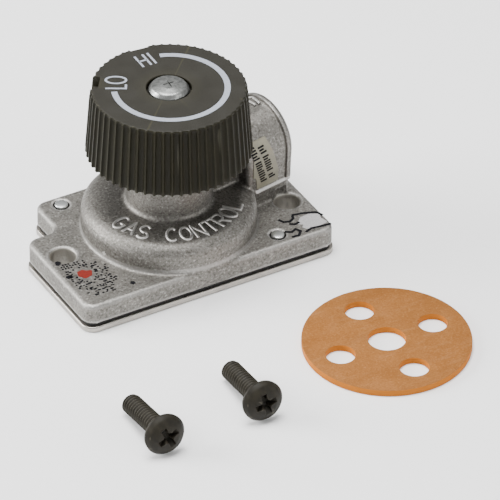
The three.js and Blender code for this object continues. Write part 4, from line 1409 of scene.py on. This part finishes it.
def make_spring():
    turns, radius, wire = 3, 6.0, 0.4
    bottom, top = PLATE_TOP + 1.05 + wire, 7.9 - wire
    steps = 40 * turns
    path, side, up = [], [], []
    for k in range(steps + 1):
        t = k / steps
        turn = t * turns * TAU
        out = np.array([math.cos(turn), math.sin(turn), 0.0])
        path.append(out * radius + np.array([0, 0, bottom + (top - bottom) * t]))
        side.append(out)
        up.append(np.array([0.0, 0.0, 1.0]))
    section = [(wire * math.cos(a), wire * math.sin(a)) for a in np.arange(10) / 10 * TAU]
    verts, faces = sweep(path, side, up, section)
    mesh = closed_mesh("spring_wire", verts, faces)
    mesh.shade_smooth()
    mesh.materials.append(SPRING_STEEL)
    obj = bpy.data.objects.new("spring_wire", mesh)
    bpy.context.scene.collection.objects.link(obj)
    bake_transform(obj)
    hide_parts("return_spring")


make_spring()


# ---------- CAD pieces that keep their shape ----------

FINISHES = {
    "brass": BRASS, "plated_steel": PLATED, "spring_steel": SPRING_STEEL, "black_rubber": RUBBER,
    "fibre": FIBRE, "cast_aluminium": CAST, "knob_plastic": KNOB, "gasket_sheet": GASKET,
    "black_steel": BLACK_STEEL, "label_film": LABEL,
}
for entry in frame["record"]["subparts"]:
    node = frame["nodes"][entry["node"]]
    for slot in node.material_slots:
        slot.material = FINISHES[entry["material_slot"]]


# ---------- Floor and light ----------

def make_floor():
    mesh = bpy.data.meshes.new("floor")
    reach = 3.0
    mesh.from_pydata([(-reach, -reach, 0), (reach, -reach, 0), (reach, reach, 0), (-reach, reach, 0)], [], [(0, 1, 2, 3)])
    mesh.materials.append(floor_paint())
    floor = bpy.data.objects.new("floor", mesh)
    floor.location.z = -0.00005
    bpy.context.scene.collection.objects.link(floor)


def soft_light(name, place, target, width, watts, colour=(1, 1, 1)):
    data = bpy.data.lights.new(name, "AREA")
    data.shape = "SQUARE"
    data.size = width
    data.energy = watts
    data.color = colour
    lamp = bpy.data.objects.new(name, data)
    bpy.context.scene.collection.objects.link(lamp)
    lamp.location = place
    lamp.rotation_euler = (Vector(target) - Vector(place)).to_track_quat("-Z", "Y").to_euler()


def make_sky():
    """A soft studio sky: bright overhead, dimmer toward the horizon."""
    world = bpy.data.worlds.new("studio")
    world.use_nodes = True
    tree = world.node_tree
    where = tree.nodes.new("ShaderNodeTexCoord")
    split = tree.nodes.new("ShaderNodeSeparateXYZ")
    ramp = tree.nodes.new("ShaderNodeValToRGB")
    tree.links.new(where.outputs["Generated"], split.inputs[0])
    tree.links.new(split.outputs[2], ramp.inputs["Fac"])
    elements = ramp.color_ramp.elements
    elements[0].position, elements[0].color = 0.0, (0.30, 0.30, 0.30, 1)
    elements[1].position, elements[1].color = 0.95, (1.0, 1.0, 1.0, 1)
    middle = elements.new(0.6)
    middle.color = (0.5, 0.5, 0.5, 1)
    tree.links.new(ramp.outputs["Color"], tree.nodes["Background"].inputs["Color"])
    tree.nodes["Background"].inputs["Strength"].default_value = 1.0
    bpy.context.scene.world = world


def make_light():
    make_sky()
    soft_light("overhead", (-0.1, 0.05, 1.5), (0, -0.03, 0), 0.9, 44)
    soft_light("left_key", (-0.9, 0.55, 0.45), (0, 0, 0.02), 0.7, 24)
    soft_light("right_fill", (0.6, -1.0, 0.3), (0, 0, 0.02), 0.9, 6)


make_floor()
make_light()
